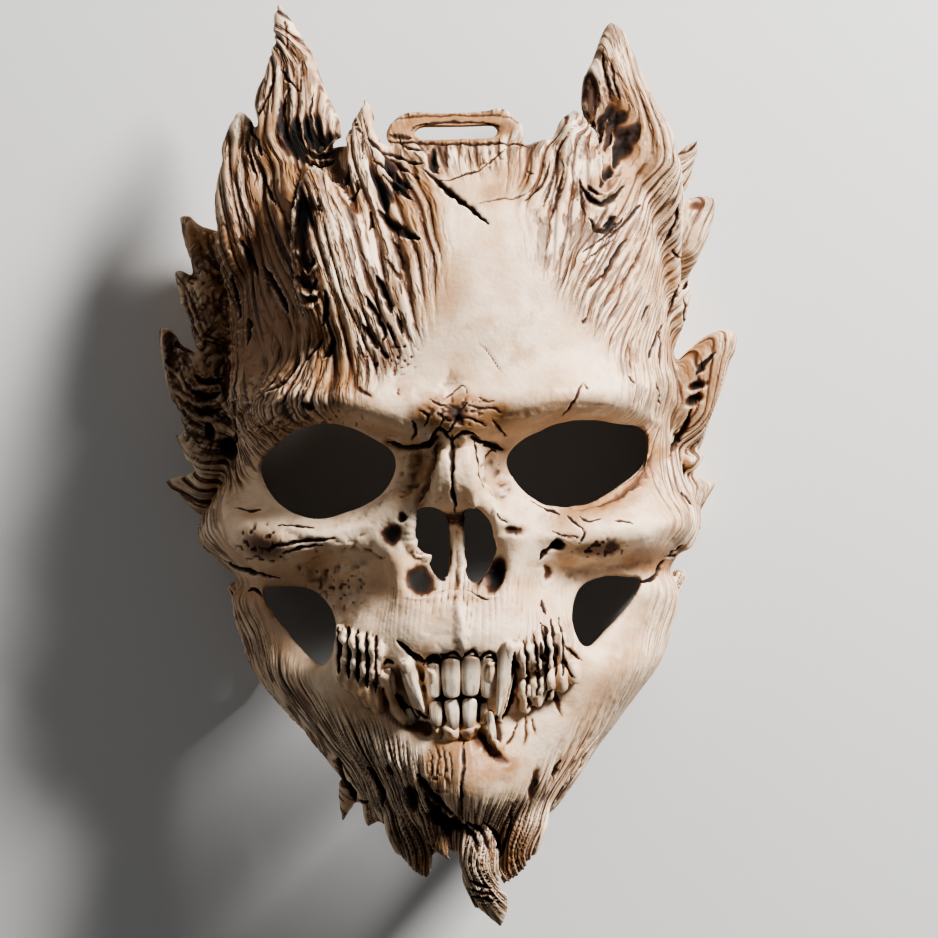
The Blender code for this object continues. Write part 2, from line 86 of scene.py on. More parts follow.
# The casting
# One hollow pour of resin, so its skin is grown from the solid in cells small enough to carve.
# Each flat facet of the solid is relaxed away, and the sharp tips keep their length.
CELL = 0.0006
FACET_ROUNDS = 26
BIN, BINS = 2, 512
SHOWN_DEPTH = 0.007
THICKEST_WALL = 0.011
FACE_OVAL = (0.092, 0.134)
HEAD_AXIS = 0.02
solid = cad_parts["mask_shell"]
casting = bpy.data.objects.new("casting", solid.data.copy())
scene.collection.objects.link(casting)
bpy.context.view_layer.objects.active = casting
form = bmesh.new()
form.from_mesh(casting.data)
bmesh.ops.remove_doubles(form, verts=form.verts, dist=1e-6)
core = BVHTree.FromBMesh(form)
form.to_mesh(casting.data)
form.free()
cells = casting.modifiers.new("cells", "REMESH")
cells.mode = "VOXEL"
cells.voxel_size = CELL
bpy.ops.object.modifier_apply(modifier=cells.name)
skin = casting.data
count = len(skin.vertices)
points = np.empty(count * 3)
skin.vertices.foreach_get("co", points)
points = points.reshape(-1, 3)
edges = np.empty(len(skin.edges) * 2, dtype=np.int64)
skin.edges.foreach_get("vertices", edges)
edges = edges.reshape(-1, 2)
joins = np.bincount(edges.ravel(), minlength=count)


def relaxed(values, rounds):
    """Values on the skin, each drawn halfway to the middle of its neighbours, many times."""
    values = values.copy()
    for _ in range(rounds):
        for k in range(values.shape[1]):
            column = values[:, k]
            total = np.bincount(edges[:, 0], column[edges[:, 1]], count)
            total += np.bincount(edges[:, 1], column[edges[:, 0]], count)
            values[:, k] = 0.5 * (column + total / joins)
    return values


def normals_of(places):
    """The skin's outward directions once its points stand at these places."""
    skin.vertices.foreach_set("co", places.ravel())
    skin.update()
    found = np.empty(count * 3)
    skin.vertex_normals.foreach_get("vector", found)
    return found.reshape(-1, 3)


def soft_step(values, low, high):
    """From 0 below low to 1 above high, soft at both ends."""
    t = np.clip((values - low) / (high - low), 0.0, 1.0)
    return t * t * (3.0 - 2.0 * t)


def grain(x, y, seed):
    """A smooth random height from -1 to 1 for each place of a plane, in steps of one."""
    i, j = np.floor(x), np.floor(y)
    fx, fy = soft_step(x - i, 0.0, 1.0), soft_step(y - j, 0.0, 1.0)

    def knot(a, b):
        hashed = np.sin(a * 127.1 + b * 311.7 + seed * 74.7) * 43758.5453
        return 2.0 * (hashed - np.floor(hashed)) - 1.0

    near = knot(i, j) * (1 - fx) + knot(i + 1, j) * fx
    far = knot(i, j + 1) * (1 - fx) + knot(i + 1, j + 1) * fx
    return near * (1 - fy) + far * fy


smooth = relaxed(points, FACET_ROUNDS)
points = smooth + relaxed(points - smooth, FACET_ROUNDS)
normals = normals_of(points)
nearer = DISTANCE / (DISTANCE + VIEW_PLANE - points[:, 2])
flat_x = aim.x + (points[:, 0] - aim.x) * nearer
flat_y = aim.y + (points[:, 1] - aim.y) * nearer
px = EYE_LINE[0] + (flat_x * math.cos(ROLL) - flat_y * math.sin(ROLL)) / PIXEL
py = EYE_LINE[1] - (flat_x * math.sin(ROLL) + flat_y * math.cos(ROLL)) / PIXEL
bins = np.clip(px // BIN, 0, BINS - 1).astype(int) * BINS
bins += np.clip(py // BIN, 0, BINS - 1).astype(int)
highest = np.full(BINS * BINS, -1.0)
np.maximum.at(highest, bins, points[:, 2])
shown = (points[:, 2] > highest[bins] - SHOWN_DEPTH) & (normals[:, 2] > -0.05)
outward = points * (1, 0, 1) + (0, 0, HEAD_AXIS)
outward /= np.linalg.norm(outward, axis=1)[:, None]
facing = (outward * normals).sum(axis=1)
oval = (points[:, 0] / FACE_OVAL[0]) ** 2 + (points[:, 1] / FACE_OVAL[1]) ** 2
hollow = np.zeros(count)
for k in np.flatnonzero((facing < -0.15) & (normals[:, 2] < 0.35) & (oval < 1.0) & ~shown):
    inward = -Vector(normals[k])
    through = core.ray_cast(Vector(points[k]) + inward * CELL, inward, THICKEST_WALL)[3]
    hollow[k] = 0.0 if through is None else 1.0
hollow = relaxed(hollow[:, None], 4)[:, 0]

# Horns, spikes and tab
# They are cast with the face. Each tip and edge is drawn to the photo's outline by a soft push.
# A push is given in pixels of the photo: its middle, its half sizes and how far it moves the resin.
PUSHES = (
    (330, 90, 17, 44, -7, 0), (256, 56, 20, 30, 3, 0), (282, 16, 22, 16, -4, -7),
    (660, 84, 28, 40, -7, 0), (606, 34, 22, 16, 2, -3), (318, 176, 20, 16, 1, 7),
    (358, 116, 14, 18, 9, -4), (246, 128, 10, 24, 9, 0), (226, 134, 9, 20, -4, 4),
    (208, 217, 15, 13, 2, 13), (200, 272, 15, 12, 0, 7), (190, 334, 16, 14, 0, 14),
    (172, 482, 12, 10, -6, 0), (398, 126, 16, 20, -12, 4), (518, 126, 16, 20, 9, 4),
    (458, 116, 44, 9, 0, 4), (350, 124, 8, 16, -4, 4), (494, 912, 16, 20, 6, -6),
    (559, 130, 13, 18, -6, 0), (583, 130, 12, 20, 5, -4), (594, 96, 12, 30, -6, 0),
)
NEAR_BINS = 7


def spot(x, y, wide, tall, flat=2):
    """From 1 in the middle of a spot of the photo to 0 past its half sizes."""
    return np.exp(-((((px - x) / wide) ** 2 + ((py - y) / tall) ** 2) ** flat))


for x, y, wide, tall, dx, dy in PUSHES:
    shape = spot(x, y, wide, tall)
    px += shape * dx
    py += shape * dy
    points[:, 0] += shape * (dx * math.cos(ROLL) - dy * math.sin(ROLL)) * PIXEL / nearer
    points[:, 1] -= shape * (dy * math.cos(ROLL) + dx * math.sin(ROLL)) * PIXEL / nearer
rise = highest.reshape(BINS, BINS)
for turn in (0, 1):
    rise = np.max([np.roll(rise, step, turn) for step in range(-NEAR_BINS, NEAR_BINS + 1)], axis=0)
sunk = rise.ravel()[bins] - points[:, 2]
height = np.zeros(count)
wash_and_shade = np.zeros(count)
stain_and_shade = np.zeros(count)

# The grain of the casting
# The bone is sculpted in long fibres that run up into the horns and tufts and down off the chin.
# Strokes drawn from root to tip set the run of the fibres, and the skin is ruled along them.
RUNS = (
    ((300, 250), (297, 200), (292, 150), (285, 100), (280, 60), (279, 12)),
    ((330, 210), (322, 160), (322, 120), (318, 80), (308, 50), (292, 22)),
    ((262, 160), (262, 130), (268, 100), (275, 75), (280, 45), (279, 14)),
    ((262, 330), (250, 280), (240, 230), (235, 180), (235, 140), (237, 117)),
    ((300, 330), (290, 290), (270, 250), (257, 200), (248, 160), (240, 122)),
    ((238, 330), (228, 280), (224, 230), (224, 180), (230, 140)),
    ((432, 250), (405, 215), (384, 178), (368, 140), (360, 110)),
    ((385, 290), (370, 250), (360, 200), (356, 160), (357, 112)),
    ((345, 200), (347, 170), (350, 140), (356, 110)),
    ((430, 190), (405, 170), (385, 150), (370, 130), (361, 111)),
    ((410, 345), (385, 300), (362, 250), (340, 210), (318, 180)),
    ((370, 350), (345, 300), (328, 250), (317, 210), (310, 182)),
    ((340, 380), (332, 330), (322, 280), (313, 230), (308, 190)),
    ((303, 365), (318, 345), (330, 320), (332, 290)),
    ((272, 392), (290, 375), (300, 350), (298, 315), (285, 280), (265, 230)),
    ((235, 350), (236, 300), (232, 250)),
    ((215, 290), (195, 250), (186, 213)),
    ((225, 330), (200, 295), (182, 270)),
    ((240, 470), (205, 430), (180, 400), (168, 360), (163, 330)),
    ((232, 420), (200, 390), (178, 350), (165, 330)),
    ((235, 490), (205, 487), (170, 480)),
    ((600, 235), (602, 190), (598, 150), (600, 110), (603, 70), (610, 32)),
    ((585, 250), (620, 212), (643, 170), (648, 130), (632, 90), (617, 50), (612, 30)),
    ((600, 290), (640, 235), (664, 190), (668, 150), (650, 105), (630, 70), (617, 38)),
    ((625, 340), (655, 270), (675, 215), (680, 170), (665, 125), (640, 85), (622, 45)),
    ((560, 270), (562, 220), (562, 180), (566, 140), (572, 116)),
    ((515, 200), (535, 185), (548, 165), (555, 145), (566, 120)),
    ((575, 235), (578, 190), (580, 150), (576, 118)),
    ((627, 385), (628, 350), (640, 315), (655, 290), (672, 255), (685, 215)),
    ((648, 400), (650, 350), (662, 320), (675, 290), (685, 260)),
    ((660, 405), (658, 370), (660, 330), (670, 300), (682, 275), (693, 262)),
    ((672, 455), (685, 430), (697, 400), (715, 365), (728, 340)),
    ((660, 440), (680, 410), (690, 385), (705, 355), (720, 338)),
    ((700, 450), (712, 410), (724, 370), (732, 340)),
    ((672, 175), (685, 158), (699, 140)),
    ((685, 260), (697, 230), (712, 198)),
    ((500, 400), (500, 300), (490, 200), (480, 150)),
    ((560, 400), (565, 340), (575, 290), (600, 250)),
    ((440, 400), (440, 330), (435, 270), (425, 220)),
    ((460, 590), (458, 500), (455, 440), (455, 410)),
    ((515, 650), (518, 600), (520, 560)),
    ((345, 650), (352, 600), (345, 570)),
    ((385, 650), (390, 590)),
    ((500, 860), (530, 800), (560, 760), (600, 700), (635, 640), (652, 595)),
    ((520, 850), (560, 790), (600, 740), (630, 680)),
    ((380, 790), (345, 750), (310, 700), (285, 650), (262, 610)),
    ((340, 800), (310, 750), (280, 700), (255, 650), (235, 600)),
    ((502, 918), (485, 880), (485, 850), (478, 820), (470, 780), (465, 745)),
    ((499, 878), (510, 850), (525, 820), (540, 790), (550, 760)),
    ((421, 871), (425, 850), (405, 820), (395, 790), (385, 750)),
    ((448, 852), (440, 820), (425, 790), (412, 770), (410, 745)),
    ((367, 820), (365, 790), (355, 760)),
    ((347, 803), (335, 780), (325, 755)),
    ((455, 810), (450, 780), (440, 750), (430, 735)),
    ((480, 850), (500, 800), (505, 770), (500, 740)),
)
GRID = 0.002
WIDE, TALL = 176, 190
BEND = 0.09
SPREAD = 3.0
MOST_STEPS = 700
CLOSE_ENOUGH = 1e-9
eye = Vector((aim.x, aim.y, aim.z + DISTANCE))


def unrolled(place):
    """Where a place of the casting lies once the face is rolled out flat, in grid steps."""
    s = BEND * np.arctan2(place[..., 0], place[..., 2] + HEAD_AXIS)
    return s / GRID + WIDE / 2, place[..., 1] / GRID + TALL / 2


def lifted(px, py):
    """The place of the casting that a pixel of the photo shows."""
    ray = (from_pixel(px, py) - eye).normalized()
    place = core.ray_cast(eye, ray)[0]
    return from_pixel(px, py) - Vector((0, 0, 0.03)) if place is None else place


grid_s, grid_y = np.meshgrid(np.arange(WIDE), np.arange(TALL), indexing="ij")
run = np.zeros((2, WIDE, TALL))
for way in RUNS:
    marks = [unrolled(np.array(lifted(*mark))) for mark in way]
    for (s0, y0), (s1, y1) in zip(marks[:-1], marks[1:]):
        ds, dy = s1 - s0, y1 - y0
        length = math.hypot(ds, dy) + 1e-6
        t = np.clip(((grid_s - s0) * ds + (grid_y - y0) * dy) / length**2, 0, 1)
        gap = (grid_s - s0 - t * ds) ** 2 + (grid_y - y0 - t * dy) ** 2
        pull = length / (gap + SPREAD) ** 2
        run[0] += pull * ds / length
        run[1] += pull * dy / length
run /= np.hypot(run[0], run[1])


def ruled(along, across, aim_s, aim_y):
    """Heights on the grid whose slope is closest to an aim, with weights along and across."""
    ds, dy = run

    def pressed(gs, gy):
        a, c = gs * ds + gy * dy, gs * dy - gy * ds
        return along * a * ds + across * c * dy, along * a * dy - across * c * ds

    def folded(gs, gy):
        made = np.zeros((WIDE, TALL))
        made[1:] += gs[:-1]
        made[:-1] -= gs[:-1]
        made[:, 1:] += gy[:, :-1]
        made[:, :-1] -= gy[:, :-1]
        return made

    def slopes(h):
        gs, gy = np.zeros_like(h), np.zeros_like(h)
        gs[:-1] = h[1:] - h[:-1]
        gy[:, :-1] = h[:, 1:] - h[:, :-1]
        return gs, gy

    h = np.zeros((WIDE, TALL))
    left = folded(*pressed(aim_s, aim_y))
    step = left.copy()
    size = (left * left).sum()
    for _ in range(MOST_STEPS):
        bent = folded(*pressed(*slopes(step)))
        share = size / (step * bent).sum()
        h += share * step
        left -= share * bent
        smaller = (left * left).sum()
        step = left + step * smaller / size
        size = smaller
        if size < CLOSE_ENOUGH:
            break
    return h


across_grid = ruled(1.0, 0.06, run[1], -run[0])
along_grid = ruled(1.0, 1.0, run[0], run[1])
at_s, at_y = unrolled(points)
at_s, at_y = np.clip(at_s, 0, WIDE - 1.001), np.clip(at_y, 0, TALL - 1.001)
i, j = at_s.astype(int), at_y.astype(int)
fs, fy = at_s - i, at_y - j


def off_grid(h):
    """A height of the flat grid at each place of the skin, in mm."""
    low = h[i, j] * (1 - fs) + h[i + 1, j] * fs
    high = h[i, j + 1] * (1 - fs) + h[i + 1, j + 1] * fs
    return (low * (1 - fy) + high * fy) * GRID * 1000


across = off_grid(across_grid)
along = off_grid(along_grid)

# Bare bone and strands
# The bare forehead, cheeks and jaw stay smooth inside this outline of the photo. Outside it the
# bone is in strands, each rounded and parted from the next by a sharp valley, with fibres on them.
BARE = (
    (430, 165), (512, 160), (532, 205), (545, 262), (575, 300), (612, 335), (625, 370), (632, 400),
    (652, 432), (655, 480), (672, 500), (676, 560), (652, 610), (632, 660), (598, 712), (560, 765),
    (535, 798), (514, 806), (498, 812), (478, 812), (455, 806), (436, 790), (412, 764), (375, 738),
    (330, 715), (285, 672), (252, 625), (232, 590), (214, 530), (222, 490), (240, 470), (262, 450),
    (315, 412), (360, 385), (397, 352), (414, 325), (430, 280), (436, 225),
)
TIPS = (
    (281, 22, 12, 18, 0.9), (239, 126, 13, 16, 1.4), (357, 116, 12, 14, 1.6), (314, 184, 15, 16, 1.4),
    (612, 42, 14, 20, 0.8), (571, 126, 11, 14, 1.2), (498, 908, 10, 16, 0.8), (733, 345, 10, 12, 0.8),
)
HORN_ENDS = ((278, 8), (612, 28), (239, 116), (358, 106), (314, 174), (571, 118), (500, 918))
SPIKE_ENDS = (
    (184, 214), (179, 270), (163, 332), (177, 432), (170, 482), (699, 141), (713, 198), (733, 337),
    (716, 485), (693, 276), (421, 871), (367, 820), (347, 803), (448, 852),
)
STRAP_TAB = (456, 126, 72, 15)
JAW_SIDE = (640, 680, 70, 95)
UPPER_JAW = (478, 612, 108, 50)
LOWER_JAW = (400, 760, 110, 60)
SHADED_FLANK = (205, 350, 42, 130)
SHADED_TEMPLE = (268, 405, 60, 34)
NOSE_X, NOSE_Y, NOSE_REACH = 455, 545, 62
LIT_FROM, LIT_TO = 535, 600
STRAND_RISE, CORD_RISE, FIBRE_RISE = 0.0008, 0.0009, 0.00040
VALLEY_CUT, NOTCH_CUT = 0.0006, 0.0003
KNOT_RISE, LUMP_RISE = 0.0011, 0.00022
outline = np.array(BARE, float)
inner = np.zeros(count, bool)
edge_gap = np.full(count, 1e9)
for (ax, ay), (bx, by) in zip(outline, np.roll(outline, -1, axis=0)):
    side = (bx - ax) ** 2 + (by - ay) ** 2
    t = np.clip(((px - ax) * (bx - ax) + (py - ay) * (by - ay)) / side, 0, 1)
    edge_gap = np.minimum(edge_gap, np.hypot(px - ax - t * (bx - ax), py - ay - t * (by - ay)))
    crosses = (ay > py) != (by > py)
    inner ^= crosses & (px < (bx - ax) * (py - ay) / (by - ay + 1e-9) + ax)
fibrous = soft_step(np.where(inner, -edge_gap, edge_gap), -26.0, 12.0) * (1 - hollow)
fibrous *= 1 - spot(*STRAP_TAB, 3)
fibrous *= 1 - 0.55 * spot(*JAW_SIDE)
calm = np.ones(count)
for x, y, wide, tall, rise_mm in TIPS:
    height += 0.001 * rise_mm * spot(x, y, wide, tall)
for ends, keep, wide in ((HORN_ENDS, 0.8, 22), (SPIKE_ENDS, 0.7, 15)):
    for x, y in ends:
        calm -= keep * spot(x, y, wide, wide)


def flutes(wide, long, seed):
    """Rounded flutes that run with the grain, from 0 in the valley to 1 on the crown."""
    sway = 0.70 * grain(across / (2.3 * wide), along / (1.5 * long), seed)
    sway += 0.22 * grain(across / (0.9 * wide), along / long, seed + 1)
    return np.abs(np.sin(math.pi * (across / wide + sway)))


strands = flutes(4.7, 46, 1)
cords = flutes(2.1, 32, 5)
fibres = flutes(1.35, 20, 9)
streaked = spot(*UPPER_JAW) * (1 - hollow)
streaked = np.maximum(streaked, 0.5 * spot(*LOWER_JAW))
patches = soft_step(grain(across / 7, along / 16, 91), -0.6, 0.5)
finely = np.maximum(fibrous, 0.60 * streaked * patches)
patch = 0.75 + 0.45 * grain(across / 14, along / 24, 19)
fibrous *= 1 - 0.35 * soft_step(px, 590, 640)
relief = fibrous * calm * patch
lit_side = soft_step(px, LIT_FROM, LIT_TO)
height += relief * STRAND_RISE * (1 - 0.4 * lit_side) * (strands**0.7 - 0.7)
height += relief * CORD_RISE * (cords**0.8 - 0.65)
height += finely * calm * (0.9 + 0.3 * patch) * FIBRE_RISE * (fibres - 0.6)
valley = np.exp(-((strands / 0.24) ** 2)) * soft_step(grain(across / 9, along / 22, 8), -0.7, 0.2)
notch = np.exp(-((cords / 0.30) ** 2)) * soft_step(grain(across / 6, along / 18, 18), -0.7, 0.4)
scratch = np.exp(-((fibres / 0.42) ** 2)) * soft_step(grain(across / 5, along / 14, 28), -0.8, 0.4)
height -= relief * (VALLEY_CUT * valley + NOTCH_CUT * notch)
# On the lit right side the valleys are darkened less: painted light over the real wash in them.
groove_and_shade = fibrous * np.maximum((1 - 0.45 * lit_side) * valley, 0.80 * notch)
groove_and_shade = np.maximum(groove_and_shade, 0.85 * finely * scratch)
gnarled = np.maximum(spot(*SHADED_FLANK), spot(*SHADED_TEMPLE))
slant = 0.8 * px + 0.6 * py + 3 * grain(px / 11, py / 9, 53)
across_slant = 0.8 * py - 0.6 * px + 3 * grain(px / 9, py / 12, 54)
knots = np.abs(grain(slant / 8, across_slant / 11, 51))
knots += 0.6 * np.abs(grain(slant / 4, across_slant / 5, 52))
height += KNOT_RISE * gnarled * shown * (knots - 0.5) * (1 - hollow)
# The valleys between the knots of the left flank and temple are darkened: partly wash, partly painted
# shade.
groove_and_shade = np.maximum(groove_and_shade, 0.55 * gnarled * shown * soft_step(0.36 - knots, 0.0, 0.3))
lumps = grain(px / 34, py / 30, 11) + 0.6 * grain(px / 15, py / 17, 12)
height += LUMP_RISE * lumps * (1 - hollow)
middle = np.exp(-(((px - NOSE_X) / NOSE_REACH) ** 6) - ((py - NOSE_Y) / NOSE_REACH) ** 6)
# Deep in the nose, where the skin lies well below the tops round it, the dark is partly the paint of the
# nasal cavity and partly painted shade.
wash_and_shade = np.maximum(wash_and_shade, inner * middle * (1 - hollow) * soft_step(sunk, 0.005, 0.010))

# The sculptor's forms and marks
# They are carved by hand and read off the photo one by one. A stroke is given by the width of the
# tool in pixels, its cut in mm, or a rise below zero, how dark the wash lies in it and its way.
sway_x = px + 1.1 * grain(px / 7, py / 7, 31) + 0.6 * grain(px / 3, py / 3, 32)
sway_y = py + 1.1 * grain(px / 7, py / 7, 33) + 0.6 * grain(px / 3, py / 3, 34)


def stroke(width, cut, dark, *way, brown=0.0):
    """One pull of the tool over the shown skin, thinner at both ends."""
    way = np.array(way, float)
    for _ in range(2):
        if len(way) > 2:
            cut_in = np.stack((0.75 * way[:-1] + 0.25 * way[1:], 0.25 * way[:-1] + 0.75 * way[1:]), 1)
            way = np.vstack((way[:1], cut_in.reshape(-1, 2)[1:-1], way[-1:]))
    reach = 1.6 * width + 2
    low, high = way.min(axis=0) - reach, way.max(axis=0) + reach
    near = np.flatnonzero(
        shown & (px > low[0]) & (px < high[0]) & (py > low[1]) & (py < high[1])
    )
    x, y = sway_x[near], sway_y[near]
    gap = np.full(len(near), 1e9)
    passed = np.zeros(len(near))
    lengths = np.hypot(*(way[1:] - way[:-1]).T)
    start = 0.0
    for (ax, ay), (bx, by), length in zip(way[:-1], way[1:], lengths):
        t = np.clip(((x - ax) * (bx - ax) + (y - ay) * (by - ay)) / length**2, 0, 1)
        off = np.hypot(x - ax - t * (bx - ax), y - ay - t * (by - ay))
        closer = off < gap
        gap[closer] = off[closer]
        passed[closer] = start + t[closer] * length
        start += length
    ends = np.clip(np.minimum(passed, start - passed) / (0.35 * start) + 0.35, 0, 1)
    ragged = 1 + 0.35 * grain(x / 6, y / 6, 61) * (cut > 0)
    shape = np.exp(-((gap / (0.5 * width * ends * ragged)) ** 2))
    height[near] -= 0.001 * cut * shape * ends
    wash_and_shade[near] = np.maximum(wash_and_shade[near], dark * shape) if dark >= 0 else wash_and_shade[near] * (1 + dark * shape)
    stain_and_shade[near] = np.maximum(stain_and_shade[near], brown * np.exp(-((gap / (0.9 * width)) ** 2)))


def dent(x, y, half_wide, half_tall, turn, cut, dark=0.0, brown=0.0):
    """One soft hollow or swelling, with a wash or stain that fills it."""
    angle = math.radians(turn)
    dx, dy = sway_x - x, sway_y - y
    u = (dx * math.cos(angle) + dy * math.sin(angle)) / half_wide
    v = (dy * math.cos(angle) - dx * math.sin(angle)) / half_tall
    shape = shown * np.exp(-((u * u + v * v) ** 1.5))
    height[:] -= 0.001 * cut * shape
    wash_and_shade[:] = np.maximum(wash_and_shade, dark * shape)
    stain_and_shade[:] = np.maximum(stain_and_shade, brown * shape)


def pit(x, y, wide, long, cut, dark):
    """A deep slot between strands, wide and long in mm, that runs with the grain."""
    middle = np.argmin(np.hypot(px - x, py - y) + 99 * ~shown)
    near = shown & (np.hypot(px - x, py - y) < 70)
    u = (across - across[middle] + 0.5 * grain(along / 4, across, 71)) / wide
    v = (along - along[middle]) / long
    shape = near * np.exp(-((u * u + v * v) ** 1.2)) * (0.55 + 0.45 * (1 - fibres**2))
    height[:] -= 0.001 * cut * shape
    wash_and_shade[:] = np.maximum(wash_and_shade, dark * soft_step(shape, 0.12, 0.6))


# Brow, eye rims, cheekbones and the hollows under them
stroke(30, -2.2, 0, (240, 430), (285, 408), (330, 398), (372, 408), (402, 428), (428, 436))
stroke(30, -2.2, 0, (498, 432), (530, 412), (580, 400), (622, 404), (656, 422))
stroke(22, 1.2, 0, (450, 372), (452, 395), (455, 415))
stroke(13, -1.7, 0, (285, 528), (315, 538), (345, 532), (372, 522), (392, 506), (408, 478), (410, 452))
stroke(13, -1.7, 0, (511, 480), (518, 500), (540, 514), (575, 516), (612, 506), (640, 488))
stroke(40, -2.6, 0, (224, 495), (240, 525), (272, 548), (300, 548))
stroke(36, -2.4, 0, (545, 538), (590, 536), (630, 528), (668, 522))
stroke(26, 2.6, 0.1, (300, 568), (330, 566), (358, 556), (378, 560), brown=0.25)
stroke(20, 1.0, 0, (540, 566), (570, 570), (610, 566), (648, 562), brown=0.1)
dent(372, 590, 24, 34, 0, 2.6, 0.0, 0.3)
dent(534, 596, 18, 36, 0, 1.8, 0.0, 0.15)
dent(690, 522, 16, 34, 0, -2.0)
dent(205, 520, 14, 34, 0, -1.6)
stroke(46, -1.8, 0, (505, 770), (545, 735), (585, 690), (622, 640), (645, 600))
stroke(46, -1.8, 0, (395, 760), (345, 730), (300, 690), (262, 640), (240, 600))
dent(458, 775, 36, 42, 0, -3.0)
dent(455, 635, 52, 26, 0, -1.4)
stroke(12, -1.7, 0, (459, 598), (461, 625), (463, 650))
stroke(26, 0.8, 0.0, (432, 604), (436, 625), (440, 645), brown=0.2)
# Nose: two nasal bones over a pear-shaped opening, with blind cells low on either side
stroke(14, -1.8, 0, (447, 438), (442, 470), (433, 502))
stroke(18, -2.4, 0, (464, 438), (468, 470), (473, 503))
# The brown down the left side of the nose, heavier than on the right, is partly wash and partly painted
# shade.
stroke(10, 1.6, 0.3, (437, 446), (428, 474), (419, 502), brown=0.8)
stroke(16, 2.0, 0.15, (420, 450), (414, 474), (404, 496), brown=0.5)
stroke(16, 2.2, 0.1, (488, 452), (496, 480), (504, 504), brown=0.30)
stroke(8, -2.4, 0, (416, 510), (411, 522), (410, 540), (414, 555))
stroke(10, -1.4, 0, (494, 508), (499, 522), (498, 545))
dent(421, 579, 15, 14, 0, 2.8, 1.0)
dent(495, 574, 9, 18, 12, 2.4, 1.0)
dent(482, 562, 8, 24, 12, 0.8, 1.0)
dent(441, 548, 9, 22, -8, 0.8, 1.0)
stroke(6, -1.6, 0, (461, 512), (461, 550), (462, 592))
stroke(5, -2.2, 0, (414, 556), (425, 556), (433, 563), (438, 572), (447, 580))
stroke(5, -1.3, 0, (493, 553), (490, 568), (486, 578), (480, 584))
stroke(6, -1.0, 0, (405, 597), (430, 600), (455, 592), (470, 596), (500, 597))
dent(391, 535, 11, 12, 0, 2.2, 0.95)
dent(402, 517, 5, 5, 0, 2.0, 0.9)
dent(514, 531, 11, 5, 0, 2.0, 0.7)
stroke(4.0, 1.5, 1.0, (452, 436), (452, 460), (452, 485), (454, 500), (456, 516))
stroke(2.4, 0.9, 0.9, (474, 436), (475, 450), (475, 462), (478, 475), (482, 483), (485, 487))
stroke(3.2, 1.0, 1.0, (426, 442), (433, 436), (436, 430), (440, 429), (446, 432), (452, 441))
stroke(3.2, 1.0, 1.0, (452, 441), (457, 437), (461, 434), (467, 432), (473, 434), (479, 438))
stroke(3.4, 1.3, 1.0, (469, 402), (462, 406), (458, 412), (459, 417), (457, 423), (452, 428), (449, 432))
stroke(3.0, 0.9, 0.9, (448, 400), (453, 403), (458, 407), (459, 413))
stroke(1.8, 0.4, 0.6, (443, 400), (447, 393), (455, 388), (463, 385), (467, 390), (469, 398))
stroke(2.0, 0.5, 0.7, (481, 447), (492, 445))
stroke(2.0, 0.5, 0.7, (487, 460), (491, 449), (497, 451))
stroke(2.2, 0.7, 0.8, (497, 513), (503, 520), (510, 523))
stroke(2.4, 0.7, 0.8, (466, 590), (480, 597), (490, 600))
stroke(7, 2.2, 1.0, (388, 443), (406, 447), (424, 446), (437, 438), brown=0.8)
stroke(9, -1.4, 0, (390, 436), (408, 440), (424, 438), (434, 431))
stroke(5, 1.3, 0.95, (470, 437), (482, 443), (494, 446), (503, 449), brown=0.7)
dent(455, 412, 42, 17, 0, 0.3, 0.0, 0.85)
dent(457, 412, 13, 12, 0, 0.5, 0.7, 0.9)
dent(505, 412, 16, 12, 0, 0.2, 0.0, 0.5)
stroke(3.2, 1.1, 0.9, (543, 598), (546, 606), (547, 614))
for way in (
    ((430, 398), (440, 404), (448, 402)), ((470, 404), (480, 410), (492, 408), (502, 414)),
    ((462, 418), (474, 420), (486, 427)), ((436, 412), (444, 418), (440, 428)),
    ((420, 410), (428, 416), (424, 426)), ((492, 420), (500, 428), (506, 436)),
    ((478, 396), (486, 402), (496, 400)), ((412, 420), (418, 428), (415, 436)),
):
    stroke(2.4, 0.5, 0.8, *way, brown=0.6)
stroke(5, 0.3, 0.0, (500, 420), (530, 406), (570, 399), (610, 401), brown=0.45)
stroke(14, 0.8, 0.25, (655, 452), (640, 482), (610, 504), (575, 514), brown=0.9)
dent(430, 414, 24, 13, 0, 0.2, 0.20, 0.9)
dent(491, 413, 24, 15, 0, 0.2, 0.20, 0.9)
stroke(8, 0.7, 0.45, (652, 455), (642, 478), (620, 497), (596, 508), brown=0.9)
stroke(3, 0.3, 0.5, (392, 120), (420, 115), (500, 115), (520, 122), brown=0.9)
stroke(5, 0.4, 0.8, (390, 134), (400, 137), (412, 138), brown=0.9)
stroke(3, 0.4, 0.8, (411, 131), (416, 125), (440, 122), (480, 122), (500, 127), brown=0.8)
dent(505, 128, 14, 10, 0, 0.1, 0.3, 0.9)
# Forehead
stroke(5.0, 2.0, 1.0, (424, 171), (437, 181), (452, 193), (468, 205), (480, 215), (489, 223))
stroke(4.0, 1.2, 1.0, (440, 184), (452, 194), (464, 203))
stroke(2.2, 0.4, 0.7, (438, 182), (455, 177), (470, 173), (482, 169), (490, 161), (505, 150), brown=0.3)
stroke(9, 2.0, 0.9, (434, 150), (432, 158), (433, 168), (437, 172), brown=0.9)
stroke(8, -0.9, 0, (427, 146), (424, 160), (430, 172))
stroke(2.0, 0.3, 0.4, (480, 343), (490, 355), (502, 372), brown=0.4)
stroke(2.4, 0.5, 0.5, (480, 203), (495, 199), (515, 198), (530, 190), brown=0.5)
dent(500, 190, 26, 14, -10, 0.1, 0.0, 0.55)
dent(415, 250, 22, 26, 20, 0.2, 0.0, 0.62)
dent(425, 222, 10, 18, 0, 0.2, 0.0, 0.7)
dent(440, 300, 30, 34, 0, 0.2, 0.0, 0.32)
dent(520, 270, 30, 30, 0, 0.0, 0.0, 0.34)
dent(545, 378, 26, 22, 0, 0.2, 0.0, 0.26)
